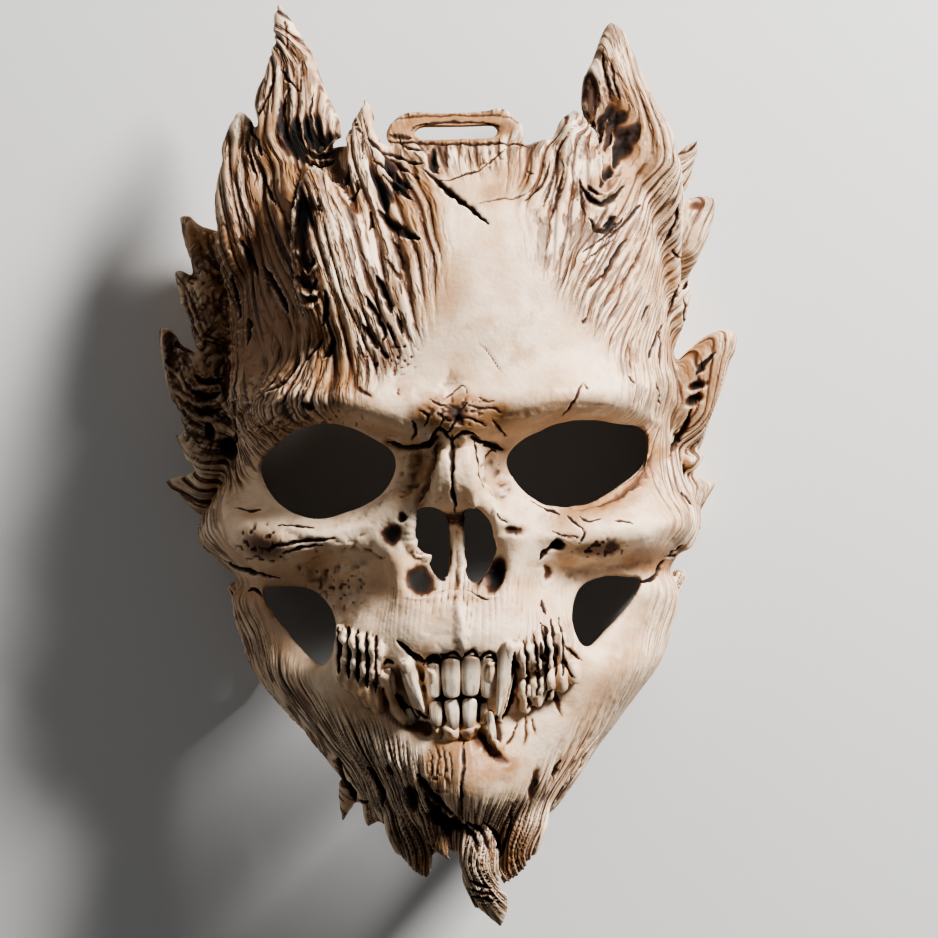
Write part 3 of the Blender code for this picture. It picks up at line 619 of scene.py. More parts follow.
dent(530, 165, 18, 16, 0, 0.2, 0.0, 0.50)
stroke(2.4, 0.6, 0.7, (582, 384), (577, 391), (570, 400), (561, 410), brown=0.5)
stroke(2.4, 0.5, 0.6, (582, 384), (587, 389), brown=0.4)
stroke(4, 0.8, 0.8, (305, 400), (311, 402), (317, 404))
stroke(4, 0.7, 0.7, (357, 388), (364, 393), (371, 396), brown=0.6)
stroke(3, 0.6, 0.6, (397, 388), (398, 395))
# A dark line along the top of the forehead under the tab is painted shadow of the tab.
stroke(3.5, 0.5, 0.8, (386, 142), (420, 143), (455, 144), (490, 143), (527, 145), brown=0.9)
# Right cheekbone, with its foramen, lid cracks and the porous patch
stroke(2.4, 0.8, 0.9, (530, 503), (545, 512), (560, 518))
stroke(2.4, 0.8, 0.9, (566, 518), (575, 526), (581, 530), (584, 536), (578, 541))
stroke(2.2, 0.6, 0.8, (578, 518), (585, 524), (592, 524), (601, 521), brown=0.4)
stroke(2.2, 0.6, 0.8, (552, 532), (565, 537), (578, 538))
stroke(2.0, 0.5, 0.7, (613, 525), (621, 524), (630, 527))
stroke(4.5, 1.6, 1.0, (563, 543), (556, 541), (550, 547), (545, 553), (541, 560))
dent(557, 545, 8, 5, 0, 1.4, 0.9)
dent(597, 549, 30, 11, 0, 0.5, 0.35, 0.4)
dent(611, 548, 10, 9, 0, 0.6, 0.6, 0.4)
dent(640, 560, 14, 16, 0, 0.3, 0.0, 0.55)
stroke(2.6, 1.0, 0.95, (664, 556), (676, 556), (692, 554))
stroke(2.4, 0.7, 0.9, (668, 556), (675, 550), (681, 545))
stroke(2.4, 0.6, 0.8, (679, 492), (684, 500), (687, 508))
stroke(3.4, 1.5, 1.0, (640, 582), (648, 581), (655, 577), (660, 568), (664, 560))
stroke(2.2, 0.6, 0.7, (656, 380), (659, 392), (660, 406))
stroke(12, 0.6, 0.1, (646, 440), (641, 470), (622, 494), (600, 508), (570, 514), brown=0.75)
dent(549, 574, 4, 7, 0, 0.9, 0.5)
# Left cheekbone
stroke(3.0, 1.0, 0.95, (262, 545), (272, 546), (285, 543), (300, 541), (320, 540), (336, 537))
stroke(2.4, 0.8, 0.8, (280, 528), (298, 525), (315, 528))
stroke(2.4, 0.7, 0.8, (284, 550), (302, 547), (322, 545))
stroke(3.4, 1.6, 1.0, (226, 560), (236, 570), (250, 572), (264, 575), (280, 578))
stroke(3.0, 1.0, 0.9, (248, 590), (256, 588), (262, 596))
stroke(3.0, 1.4, 0.9, (234, 402), (237, 420), (236, 440), (232, 455))
dent(210, 432, 5, 9, -15, 2.2, 0.95)
dent(228, 448, 8, 10, -20, 1.8, 0.85)
stroke(2.4, 0.6, 0.7, (238, 512), (250, 515), (262, 512))
dent(268, 545, 22, 14, 10, 0.5, 0.4, 0.4)
dent(385, 356, 26, 20, 0, 0.4, 0.3, 0.25)
# Horns and tufts on the left
pit(296, 140, 2.0, 9, 2.5, 0.95)
pit(313, 136, 1.8, 9, 2.4, 0.95)
pit(325, 148, 1.6, 7, 1.0, 0.9)
pit(282, 120, 0.7, 8, 1.2, 0.8)
stroke(3.2, 1.0, 1.0, (281, 69), (286, 76), (292, 83), (299, 91))
stroke(3.0, 0.9, 0.8, (275, 74), (271, 88), (265, 101), brown=0.5)
stroke(3.0, 0.9, 0.8, (291, 85), (285, 98), (279, 113), brown=0.5)
stroke(3.0, 0.9, 0.8, (268, 96), (262, 108), (255, 119), brown=0.5)
stroke(3.0, 0.9, 0.8, (313, 94), (311, 108), (310, 122), brown=0.5)
stroke(2.4, 0.7, 0.7, (301, 58), (302, 75), (301, 92), brown=0.5)
stroke(2.4, 0.7, 0.7, (285, 22), (287, 34), (287, 50), brown=0.5)
stroke(4.5, 1.4, 0.9, (305, 146), (315, 155), (328, 152), (338, 142))
stroke(4.5, 1.4, 0.9, (302, 158), (317, 168), (333, 160))
stroke(3.2, 1.1, 0.8, (250, 124), (256, 140), (262, 156), brown=0.8)
stroke(3.2, 1.1, 0.8, (246, 140), (252, 160), (257, 181), brown=0.8)
stroke(3.2, 1.0, 0.8, (262, 172), (268, 190), (276, 204), brown=0.7)
stroke(3.6, 1.2, 0.9, (349, 165), (347, 176), (343, 187))
stroke(3.8, 1.3, 0.9, (358, 180), (357, 192), (353, 199), (347, 198))
stroke(3.0, 0.9, 0.9, (356, 112), (356, 124), (361, 133), brown=0.5)
stroke(2.4, 0.8, 0.8, (363, 132), (362, 146), (363, 160))
stroke(3.4, 1.2, 0.9, (368, 138), (380, 152), (393, 160), (406, 170), (420, 180), brown=0.6)
stroke(3.2, 1.1, 0.9, (382, 152), (396, 154), (410, 162), (424, 166), brown=0.6)
stroke(3.4, 1.3, 0.9, (374, 160), (388, 170), (400, 182), (412, 188), brown=0.8)
stroke(3.4, 1.3, 0.9, (384, 176), (398, 190), (414, 200), brown=0.8)
stroke(3.0, 1.0, 0.8, (400, 142), (412, 150), (422, 150), brown=0.7)
pit(384, 196, 0.9, 6, 2.0, 0.95)
pit(398, 182, 0.8, 7, 1.6, 0.9)
pit(374, 176, 0.7, 6, 1.4, 0.85)
pit(392, 168, 0.7, 6, 1.2, 0.8)
stroke(9, 2.4, 1.0, (379, 211), (390, 222), (401, 232), (418, 238))
stroke(4, 1.0, 0.7, (390, 236), (400, 255), (404, 272), brown=0.7)
stroke(3, 0.8, 0.7, (385, 258), (394, 270), (402, 282), brown=0.6)
stroke(7.5, 2.0, 1.0, (377, 276), (383, 288), (389, 300), (391, 313))
stroke(5.5, 1.8, 1.0, (366, 296), (372, 309), (379, 321), (385, 334), (382, 342))
stroke(5.0, 1.5, 0.95, (362, 326), (370, 336), (376, 347))
stroke(4.0, 1.3, 0.95, (397, 316), (400, 328), (403, 338))
stroke(4.0, 1.2, 0.9, (387, 322), (392, 334), (394, 342))
stroke(4.0, 1.2, 0.9, (371, 212), (372, 222), (370, 230), brown=0.5)
stroke(2.6, 0.6, 0.8, (317, 206), (322, 212))
pit(299, 208, 2.6, 9, 3.6, 1.0)
stroke(7, 2.2, 1.0, (294, 276), (300, 284), (310, 287), (317, 280))
stroke(5, 1.8, 1.0, (302, 262), (310, 266), (314, 258))
stroke(5, 1.6, 0.95, (304, 298), (311, 301), (317, 297))
stroke(6, 2.0, 0.95, (262, 265), (272, 282), (282, 298), (288, 312))
stroke(5, 1.6, 0.9, (240, 240), (250, 258), (258, 276))
stroke(4, 1.4, 0.9, (232, 275), (238, 300), (240, 320))
stroke(4, 1.4, 0.9, (249, 318), (250, 332), (248, 346))
stroke(6, 1.8, 1.0, (334, 338), (328, 350), (322, 358))
stroke(5, 1.6, 0.95, (325, 290), (327, 308), (323, 325))
stroke(4, 1.2, 0.9, (268, 392), (282, 384), (293, 372), (300, 356))
stroke(3, 1.0, 0.8, (303, 362), (313, 352), (322, 340))
stroke(7, 1.8, 0.85, (195, 376), (204, 382), (213, 383), (222, 378), brown=0.8)
stroke(6, 1.8, 0.9, (192, 390), (202, 396), (212, 397), (220, 393), brown=0.7)
stroke(6, 1.8, 0.9, (194, 407), (203, 413), (213, 413), (222, 408), brown=0.5)
stroke(5, -1.4, 0, (166, 362), (182, 380), (200, 389), (222, 386))
stroke(5, -1.4, 0, (170, 384), (186, 400), (204, 405), (222, 401))
stroke(5, -1.2, 0, (180, 404), (194, 417), (210, 420), (224, 415))
stroke(6, -1.6, 0, (163, 330), (167, 360), (173, 390), (184, 418))
# Horns and tufts on the right
pit(592, 92, 0.9, 10, 1.0, 0.6)
pit(603, 122, 1.2, 8, 1.2, 0.75)
pit(618, 138, 1.0, 9, 1.0, 0.7)
stroke(26, -3.0, -0.8, (573, 122), (571, 150), (566, 200))
dent(616, 120, 30, 55, 12, 0.4, 0.0, 0.75)
stroke(11, 1.6, 0.9, (600, 186), (610, 172), (620, 154), (626, 132), brown=0.9)
stroke(5, 1.0, 0.8, (606, 150), (612, 132), (616, 112), brown=0.9)
stroke(6, -1.4, 0, (604, 185), (612, 176), (622, 164))
stroke(5, -1.2, 0, (598, 152), (606, 136), (611, 116))
stroke(5, -1.0, 0, (594, 150), (600, 134), (603, 118))
stroke(5.5, 2.0, 1.0, (582, 186), (590, 199), (600, 205), (612, 200), (624, 186))
stroke(4.0, 1.2, 0.8, (588, 184), (594, 192), (603, 195))
stroke(5.0, 1.6, 0.9, (589, 218), (597, 230), (606, 231), (618, 222))
stroke(7.0, 1.6, 1.0, (603, 226), (610, 223), (616, 218))
stroke(3.2, 0.9, 0.9, (608, 239), (620, 229), (630, 219), (640, 205))
stroke(2.6, 0.8, 0.8, (583, 253), (600, 240), (615, 229), (626, 214))
stroke(2.4, 0.7, 0.7, (583, 263), (600, 250), (613, 240), brown=0.4)
stroke(5.5, 1.4, 0.9, (604, 277), (612, 263), (618, 251), (627, 238), brown=0.9)
stroke(2.4, 0.6, 0.7, (588, 289), (598, 279), (606, 273), brown=0.5)
stroke(4, 0.6, 0.3, (608, 298), (619, 286), (629, 274), brown=0.6)
stroke(3, 0.7, 0.6, (620, 290), (640, 258), (650, 228), brown=0.6)
stroke(3.2, 0.9, 0.85, (679, 204), (676, 219), (671, 232), (663, 245))
stroke(2.4, 0.7, 0.8, (640, 322), (644, 313), (650, 303))
stroke(3.0, 0.8, 0.85, (662, 324), (656, 337), (651, 349), (648, 359))
stroke(2.4, 0.7, 0.75, (666, 322), (670, 310), (674, 297), (679, 284))
stroke(2.2, 0.5, 0.6, (660, 330), (661, 348), (660, 372))
stroke(6, 0.6, 0.3, (628, 344), (631, 356), (630, 368), brown=0.6)
stroke(3, 0.6, 0.6, (628, 376), (634, 385))
stroke(3, 0.6, 0.7, (583, 324), (588, 316))
stroke(3, 0.6, 0.7, (672, 250), (675, 255), (679, 257))
stroke(4.5, 1.6, 1.0, (693, 275), (687, 282), (682, 289))
stroke(2.4, 0.7, 0.7, (684, 298), (686, 316), (685, 342), brown=0.5)
dent(672, 345, 10, 26, 0, 0.2, 0.0, 0.55)
stroke(5.5, 1.8, 0.95, (714, 352), (706, 363), (696, 374), brown=0.7)
dent(697, 385, 9, 4, -12, 2.6, 1.0)
dent(694, 400, 9, 5, -22, 2.6, 1.0)
stroke(6, 1.8, 0.9, (691, 410), (688, 422), (680, 434), (674, 446), (670, 456), brown=0.8)
dent(705, 345, 14, 7, 0, 0.6, 0.2, 0.7)
stroke(3.2, 1.0, 0.8, (556, 160), (554, 175), (549, 190), (543, 206), brown=0.7)
stroke(3.6, 1.1, 0.8, (561, 178), (557, 198), (552, 216), brown=0.8)
stroke(3.2, 1.0, 0.7, (549, 164), (545, 178), (536, 190), (525, 200), brown=0.7)
stroke(2.6, 0.7, 0.7, (528, 160), (527, 168), (534, 173), brown=0.6)
stroke(3.2, 1.0, 0.85, (580, 180), (582, 196), (585, 214))
stroke(3.0, 0.9, 0.8, (604, 50), (603, 70), (608, 88), (612, 102), brown=0.9)
stroke(3.0, 0.9, 0.7, (612, 60), (613, 82), (620, 100), brown=0.9)
stroke(4, 1.0, 0.8, (688, 152), (694, 146), (698, 141), brown=0.8)
dent(697, 205, 9, 5, -20, 1.0, 0.5, 0.8)
stroke(3, -0.9, -0.9, (606, 186), (600, 165), (603, 140), (607, 118))
stroke(3, -0.9, -0.9, (615, 176), (611, 150), (613, 128))
stroke(2.6, -0.7, -0.8, (595, 150), (594, 128), (598, 106))
stroke(3.4, -1.0, -0.9, (596, 190), (604, 196), (614, 188), (621, 176))
# Mouth: gums drawn up round each tooth, and the black between the teeth
stroke(20, 1.7, 0.3, (430, 668), (460, 666), (494, 666))
stroke(3.6, 1.2, 1.0, (424, 664), (429, 657), (433, 654), (438, 657), (442, 663))
stroke(3.6, 1.2, 1.0, (442, 663), (446, 655), (452, 651), (458, 655), (462, 662))
stroke(3.6, 1.2, 1.0, (462, 662), (467, 653), (472, 650), (477, 654), (481, 661))
stroke(3.4, 1.1, 1.0, (481, 661), (485, 654), (489, 651), (494, 655), (498, 662))
stroke(3.0, 0.9, 0.9, (384, 664), (388, 660), (394, 664))
stroke(5, 1.6, 1.0, (398, 640), (410, 652), (424, 662))
stroke(5, 1.5, 1.0, (428, 664), (434, 658), (441, 665))
stroke(4, 1.4, 1.0, (441, 655), (452, 661), (461, 665))
stroke(4, 1.4, 1.0, (462, 668), (468, 660), (474, 657), (480, 662), (484, 667))
stroke(3.6, 1.2, 1.0, (484, 662), (490, 657), (497, 662))
stroke(6, 1.8, 1.0, (394, 690), (402, 704), (414, 714), (430, 718))
stroke(9, 3.2, 1.0, (496, 716), (497, 729), (500, 741))
stroke(4, 1.6, 1.0, (443, 700), (444, 712), (446, 722))
stroke(4, 1.6, 1.0, (479, 700), (480, 712), (478, 722))
stroke(5, 1.6, 1.0, (514, 652), (515, 678), (509, 706), (503, 718))
stroke(30, 1.8, 0.4, (430, 690), (460, 696), (490, 690))
stroke(5, -1.0, 0, (444, 726), (452, 733))
stroke(5, -1.0, 0, (458, 724), (463, 731), (470, 731), (484, 722))
for x, top, low in ((519, 640, 700), (529, 640, 700), (538, 630, 694), (547, 626, 690)):
    stroke(7, -1.3, 0, (x, top), (x + 3, (top + low) / 2 - 4))
    stroke(7, -1.2, 0, (x + 3, (top + low) / 2 + 6), (x + 3, low))
for x, top, low in ((524, 640, 695), (534, 634, 694), (543, 626, 690), (552, 620, 684), (560, 618, 676)):
    stroke(3.4, 1.2, 0.95, (x, top), (x + 4, (top + low) / 2), (x + 3, low))
for x, top, low in ((343, 628, 672), (352, 630, 676), (361, 632, 680), (370, 634, 684), (380, 640, 690)):
    stroke(7, -1.4, 0, (x, top), (x + 1, (top + low) / 2 - 4))
    stroke(7, -1.3, 0, (x + 2, (top + low) / 2 + 5), (x + 1, low))
for x, top, low in ((338, 626, 674), (348, 628, 678), (357, 630, 682), (366, 632, 688), (375, 636, 692)):
    stroke(3.8, 1.6, 1.0, (x, top), (x + 1, (top + low) / 2), (x + 1, low))
stroke(2.6, 0.8, 0.9, (542, 622), (547, 627), (546, 640), (549, 656))
stroke(3.0, 1.0, 0.9, (539, 645), (541, 655), (546, 665))
stroke(3.0, 1.0, 0.9, (545, 700), (549, 693), (551, 688))
stroke(2.6, 0.8, 0.8, (564, 645), (563, 658), (568, 670), (574, 676), brown=0.6)
stroke(2.4, 0.7, 0.8, (565, 645), (572, 652), (580, 660), brown=0.5)
stroke(3.0, 0.8, 0.8, (527, 697), (530, 703), (527, 708), brown=0.5)
# Jaw and chin
stroke(3.4, 0.8, 0.6, (518, 722), (512, 736), (506, 744), brown=0.5)
stroke(3, 0.6, 0.5, (525, 716), (526, 730), (523, 744), brown=0.6)
stroke(3, 0.6, 0.5, (531, 718), (533, 734), brown=0.6)
stroke(3.6, 0.9, 0.6, (553, 690), (557, 702), (558, 714), brown=0.6)
dent(534, 785, 4, 18, 12, 1.3, 0.75, 0.8)
stroke(4, 1.3, 0.9, (560, 760), (556, 768), (552, 780), brown=0.8)
stroke(2.4, 0.7, 0.7, (575, 772), (563, 788), (550, 806))
stroke(2.4, 0.7, 0.6, (588, 752), (575, 772), (562, 792))
stroke(3.0, 0.9, 0.9, (512, 803), (511, 815), (508, 830), (503, 845), (499, 862), brown=0.8)
stroke(3.0, 0.9, 0.9, (465, 742), (463, 760), (462, 780), (462, 800), (463, 818), brown=0.6)
for x, top in ((430, 750), (436, 745), (443, 748), (450, 752)):
    stroke(2.2, 0.5, 0.6, (x, top), (x + 4, top + 14 + x % 7), (x + 2, top + 30 + x % 5), brown=0.8)
stroke(14, 1.2, 0.5, (474, 730), (480, 742), (494, 754), (505, 762), brown=1.0)
dent(440, 765, 18, 28, 0, 0.5, 0.0, 0.85)
dent(420, 728, 22, 7, 15, 0.9, 0.35, 0.7)
stroke(9, 2.2, 1.0, (452, 812), (440, 800), (428, 790), (418, 775))
stroke(16, 3.0, 1.0, (430, 800), (440, 820), (456, 826), (466, 826))
dent(412, 798, 6, 13, -14, 1.8, 0.9)
stroke(5, 1.8, 1.0, (468, 822), (478, 828), (486, 838), (490, 852))
stroke(5, 1.6, 1.0, (466, 826), (474, 836), (476, 850))
stroke(4.5, 1.5, 1.0, (484, 822), (494, 830), (499, 842), (496, 858))
stroke(3.0, 0.9, 0.9, (470, 880), (480, 886), (492, 888))
stroke(3.0, 0.9, 0.8, (468, 888), (480, 893), (494, 895))
stroke(3.0, 0.8, 0.8, (470, 896), (482, 899), (494, 900))
dent(512, 858, 12, 10, -30, 0.4, 0.1, 0.9)
stroke(6, 1.8, 0.95, (368, 768), (376, 782), (382, 796), (384, 806))
stroke(5, 1.5, 0.9, (388, 765), (392, 776))
stroke(5, 1.6, 0.9, (346, 780), (352, 792), (356, 800))
stroke(5, 1.5, 0.9, (338, 758), (340, 770), (345, 784), brown=0.5)
stroke(3, 0.9, 0.9, (370, 800), (366, 804), (360, 800))
dent(424, 862, 12, 12, 0, 0.3, 0.2, 0.75)
dent(400, 128, 15, 10, 0, 0.2, 0.1, 0.9)
dent(505, 132, 16, 9, 0, 0.2, 0.0, 0.6)
# Brown stains are laid where the photo shows them. Beside the left horns, round their bases and over
# the left tufts, dark brown is also laid as painted shade and cast shadow, over the real wash.
SHADED_TUFTS = (262, 290, 62, 130)
BROWNS = (
    (266, 150, 24, 40, 20, 0.9), (296, 96, 36, 44, 0, 0.5), (452, 128, 70, 22, 0, 1.0),
    (418, 205, 24, 60, -20, 0.9), (440, 290, 34, 60, 0, 0.45), (636, 150, 40, 70, 15, 0.6),
    (668, 290, 20, 70, 0, 0.4), (700, 380, 26, 60, 0, 0.7), (460, 412, 54, 22, 0, 1.0),
    (203, 236, 20, 24, 0, 1.0), (205, 390, 24, 40, 0, 0.6), (520, 172, 36, 24, 0, 0.6),
    (600, 505, 60, 16, -18, 0.8), (655, 560, 34, 18, 0, 0.8), (620, 660, 26, 70, 25, 0.5),
    (470, 760, 50, 34, 0, 0.7), (430, 850, 30, 30, 0, 0.7), (510, 850, 22, 30, 0, 0.9),
    (300, 430, 60, 24, 0, 0.4), (560, 275, 50, 60, 0, 0.35), (300, 590, 70, 30, 0, 0.5),
    (370, 700, 60, 40, 0, 0.4), (560, 400, 60, 12, 0, 0.4), (420, 470, 18, 40, 0, 0.7),
)
for x, y, wide, tall, turn, brown in BROWNS:
    dent(x, y, wide, tall, turn, 0.0, brown=brown)
# Painted shade and cast shadow of the left horns: dark brown down the hollow beside them and round their
# bases, partly over the real wash.
stroke(30, 0.6, 0.30, (300, 172), (298, 215), (304, 270), (316, 325), (334, 378), brown=0.8)
stroke(14, 1.4, 0.75, (297, 182), (295, 215), (300, 250), (308, 300))
stroke(22, 1.2, 0.60, (284, 138), (305, 152), (326, 156), (340, 148), brown=0.8)
stroke(16, 1.2, 0.55, (336, 160), (342, 190), (352, 205), brown=0.6)
# The raised rungs and ridges in that painted shade are left paler.
stroke(3.5, -1.0, -0.9, (298, 267), (307, 276), (318, 263))
stroke(3.5, -1.0, -0.9, (295, 284), (306, 298), (319, 290))
stroke(3, -0.8, -0.8, (298, 303), (309, 308), (318, 303))
stroke(3, -0.8, -0.9, (305, 140), (316, 150), (328, 147), (339, 137))
stroke(3, -0.8, -0.9, (303, 151), (315, 161), (331, 158))
stroke(2.6, -0.8, -0.8, (298, 108), (302, 128), (306, 146))
stroke(2.6, -0.8, -0.8, (312, 112), (316, 130), (324, 142))
# Painted shade over the left tufts, in their stain and their grooves.
shade = spot(*SHADED_TUFTS) * shown
stain_and_shade = np.maximum(stain_and_shade, 0.75 * shade)
groove_and_shade = np.maximum(groove_and_shade, 0.42 * shade)

# Porous bone
# It shows where the outer bone has worn away, and is pricked all over with small pits. Each patch
# has its middle and half sizes in pixels of the photo, and how worn it is.
POROUS = (
    (388, 354, 30, 22, 1.0), (598, 549, 30, 12, 1.0), (266, 544, 28, 18, 1.0), (456, 412, 34, 18, 0.9),
    (492, 158, 16, 12, 0.7), (320, 418, 60, 16, 0.5), (330, 590, 40, 26, 0.5), (440, 778, 14, 30, 0.6),
)
PRICK, PRICK_CUT = 3.4, 0.00060
for x, y, wide, tall, deep in POROUS:
    shape = shown * spot(x, y, wide, tall, 1.5) * deep
    pricks = soft_step(grain(px / PRICK, py / PRICK, 41), 0.15, 0.75) * shape
    height -= PRICK_CUT * pricks
    wash_and_shade = np.maximum(wash_and_shade, 0.75 * pricks)
    stain_and_shade = np.maximum(stain_and_shade, 0.35 * shape)

# The finished skin
# The carving is pressed into the resin, no deeper than its wall allows, and how far each place
# lies under its own smoothed form is kept, because the wash gathers there and the paint darkens
# these hollows as painted shade as well.
DEEPEST = 0.0012
FINE_ROUNDS, FINE_DEPTH = 3, 0.00013
BROAD_ROUNDS, BROAD_DEPTH = 30, 0.00045
normals = normals_of(points)
softened = relaxed(normals, FINE_ROUNDS)
softened /= np.linalg.norm(softened, axis=1)[:, None]
height = np.where(height < -DEEPEST, -DEEPEST * (1 + np.tanh(-height / DEEPEST - 1)), height)
points = points + softened * (height * (1 - hollow))[:, None]
points[:, 2] = np.maximum(points[:, 2], 0.0)
fine = ((relaxed(points, FINE_ROUNDS) - points) * softened).sum(axis=1) / FINE_DEPTH
broad = ((relaxed(points, BROAD_ROUNDS) - points) * softened).sum(axis=1) / BROAD_DEPTH
normals_of(points)
for name, values in (
    ("across", across),
    ("along", along),
    ("wash_and_shade", np.clip(wash_and_shade, 0, 1)),
    ("stain_and_shade", np.clip(stain_and_shade, 0, 1)),
    ("groove_and_shade", np.clip(groove_and_shade, 0, 1)),
    ("fibrous", fibrous),
    ("hollow", hollow),
    ("fine", np.clip(fine, -1, 1)),
    ("broad", np.clip(broad, -1, 1)),
):
    layer = skin.attributes.new(name, "FLOAT", "POINT")
    layer.data.foreach_set("value", values.astype(np.float32))

# Four bands of the casting
# The resin is one pour, but its skin is too fine to keep as one piece. It is thinned, most of all
# where it faces the wearer, and parted in level planes into closed bands that meet face to face.
MOST_TRIANGLES = 740000
THINNED_BEHIND = 0.93
LEVELS = (0.075, 0.0135, -0.0565)
BANDS = (
    ("horns", LEVELS[0], None),
    ("brow", LEVELS[1], LEVELS[0]),
    ("cheeks", LEVELS[2], LEVELS[1]),
    ("jaw", None, LEVELS[2]),
)
behind = casting.vertex_groups.new(name="behind")
unseen = hollow > 0.5
behind.add(np.flatnonzero(unseen).tolist(), 1.0, "REPLACE")
thin_behind = casting.modifiers.new("thin_behind", "DECIMATE")
thin_behind.vertex_group = "behind"
thin_behind.ratio = 1.0 - THINNED_BEHIND * unseen.mean()
bpy.ops.object.modifier_apply(modifier=thin_behind.name)
thin = casting.modifiers.new("thin", "DECIMATE")
skin.calc_loop_triangles()
thin.ratio = min(1.0, MOST_TRIANGLES / len(skin.loop_triangles))
bpy.ops.object.modifier_apply(modifier=thin.name)
skin.shade_smooth()
bands = []
for name, low, high in BANDS:
    band = bpy.data.objects.new("casting_" + name, skin.copy())
    scene.collection.objects.link(band)
    form = bmesh.new()
    form.from_mesh(band.data)
    for level, way in ((low, -1), (high, 1)):
        if level is None:
            continue
        everything = form.verts[:] + form.edges[:] + form.faces[:]
        parted = bmesh.ops.bisect_plane(
            form,
            geom=everything,
            dist=1e-7,
            plane_co=(0, level, 0),
            plane_no=(0, way, 0),
            clear_outer=True,
        )
        rim = [part for part in parted["geom_cut"] if isinstance(part, bmesh.types.BMEdge)]
        cap = bmesh.ops.triangle_fill(form, use_beauty=True, edges=rim)
        for face in cap["geom"]:
            face.smooth = False
        for edge in rim:
            edge.smooth = False
    form.to_mesh(band.data)
    form.free()
    bands.append(band)
bpy.data.objects.remove(casting)

# Paint of the casting
# The resin is sprayed in bone and ivory, streaked with tan, and washed with umber and soot, which
# stay in every groove and pore. The same umber and soot are also laid as painted shade: in the
# hollows, deep in the nose and over the left tufts and horn bases, with the valleys paler on the lit
# right side as painted light. The wash dries more matte than the bone round it.
BONE = (0.72, 0.48, 0.30)
IVORY = (0.90, 0.71, 0.52)
WARM_BONE = (0.60, 0.36, 0.20)
RUBBED_BONE = (0.90, 0.80, 0.66)
TAN = (0.42, 0.22, 0.10)
UMBER = (0.115, 0.045, 0.017)
SOOT = (0.010, 0.005, 0.003)
INSIDE = (0.10, 0.075, 0.055)
resin = bpy.data.materials.new("painted_resin_worn")
resin.use_nodes = True
nodes, wires = resin.node_tree.nodes, resin.node_tree.links
shader = nodes["Principled BSDF"]


def worn(name):
    """A value kept on the skin, such as its dark wash."""
    reader = nodes.new("ShaderNodeAttribute")
    reader.attribute_name = name
    return reader.outputs["Fac"]


def speckle(place, scale, detail, rough=0.5):
    """A cloudy pattern from 0 to 1."""
    cloud = nodes.new("ShaderNodeTexNoise")
    cloud.inputs["Scale"].default_value = scale
    cloud.inputs["Detail"].default_value = detail
    cloud.inputs["Roughness"].default_value = rough
    wires.new(place, cloud.inputs["Vector"])
    return cloud.outputs["Fac"]


def between(value, low, high, at_low=0.0, at_high=1.0):
    """The share of the way that a value has come from low to high."""
    ramp = nodes.new("ShaderNodeMapRange")
    ramp.interpolation_type = "SMOOTHSTEP"
    ramp.inputs["From Min"].default_value = low
    ramp.inputs["From Max"].default_value = high
    ramp.inputs["To Min"].default_value = at_low
    ramp.inputs["To Max"].default_value = at_high
    wires.new(value, ramp.inputs["Value"])
    return ramp.outputs["Result"]


def combined(kind, a, b):
    """Two values or a value and a number, put together."""
    maths = nodes.new("ShaderNodeMath")
    maths.operation = kind
    maths.use_clamp = kind in ("ADD", "MULTIPLY")
    for socket, term in zip(maths.inputs, (a, b)):
        if isinstance(term, (int, float)):
            socket.default_value = term
        else:
            wires.new(term, socket)
    return maths.outputs["Value"]


def tinted(under, over, amount):
    """One colour laid over another."""
    mix = nodes.new("ShaderNodeMix")
    mix.data_type = "RGBA"
    for socket, colour in ((mix.inputs["A"], under), (mix.inputs["B"], over)):
        if isinstance(colour, tuple):
            socket.default_value = (*colour, 1.0)
        else:
            wires.new(colour, socket)
    wires.new(amount, mix.inputs["Factor"])
    return mix.outputs["Result"]


place = nodes.new("ShaderNodeTexCoord").outputs["Object"]
grained = nodes.new("ShaderNodeCombineXYZ")
wires.new(worn("across"), grained.inputs["X"])
wires.new(combined("DIVIDE", worn("along"), 11.0), grained.inputs["Y"])
streaks = speckle(grained.outputs["Vector"], 0.36, 3.0, 0.6)
hair_lines = speckle(grained.outputs["Vector"], 0.95, 2.0, 0.6)
mottle = speckle(place, 38.0, 4.0, 0.6)
blotch = speckle(place, 150.0, 3.0, 0.6)
pores = speckle(place, 620.0, 2.0, 0.5)
colour = tinted(BONE, IVORY, between(mottle, 0.38, 0.62))
warm = combined("MULTIPLY", between(mottle, 0.50, 0.72), between(blotch, 0.40, 0.62))
colour = tinted(colour, WARM_BONE, combined("MULTIPLY", warm, 0.75))
streaky = combined("MULTIPLY", between(streaks, 0.47, 0.60), worn("fibrous"))
colour = tinted(colour, TAN, combined("MULTIPLY", streaky, 0.45))
lines = combined("MULTIPLY", between(hair_lines, 0.49, 0.56), worn("fibrous"))
colour = tinted(colour, UMBER, combined("MULTIPLY", lines, 0.80))
patchy = between(combined("ADD", worn("stain_and_shade"), combined("MULTIPLY", blotch, 0.5)), 0.35, 1.05)
colour = tinted(colour, TAN, patchy)
colour = tinted(colour, UMBER, between(worn("groove_and_shade"), 0.12, 0.75, 0.0, 0.90))
colour = tinted(colour, SOOT, between(worn("groove_and_shade"), 0.60, 1.0, 0.0, 0.70))
# Hollows and creases are darkened with umber: partly the wash in them, partly painted shade.
deep = between(worn("broad"), 0.10, 1.0)
colour = tinted(colour, UMBER, combined("MULTIPLY", deep, 0.75))
crease_wash_and_shade = between(worn("fine"), 0.12, 0.9)
colour = tinted(colour, UMBER, combined("MULTIPLY", crease_wash_and_shade, 0.70))
raised = between(worn("fine"), -0.25, -1.0)
colour = tinted(colour, RUBBED_BONE, combined("MULTIPLY", raised, 0.35))
colour = tinted(colour, UMBER, between(worn("wash_and_shade"), 0.08, 0.50))
colour = tinted(colour, SOOT, between(worn("wash_and_shade"), 0.35, 0.85))
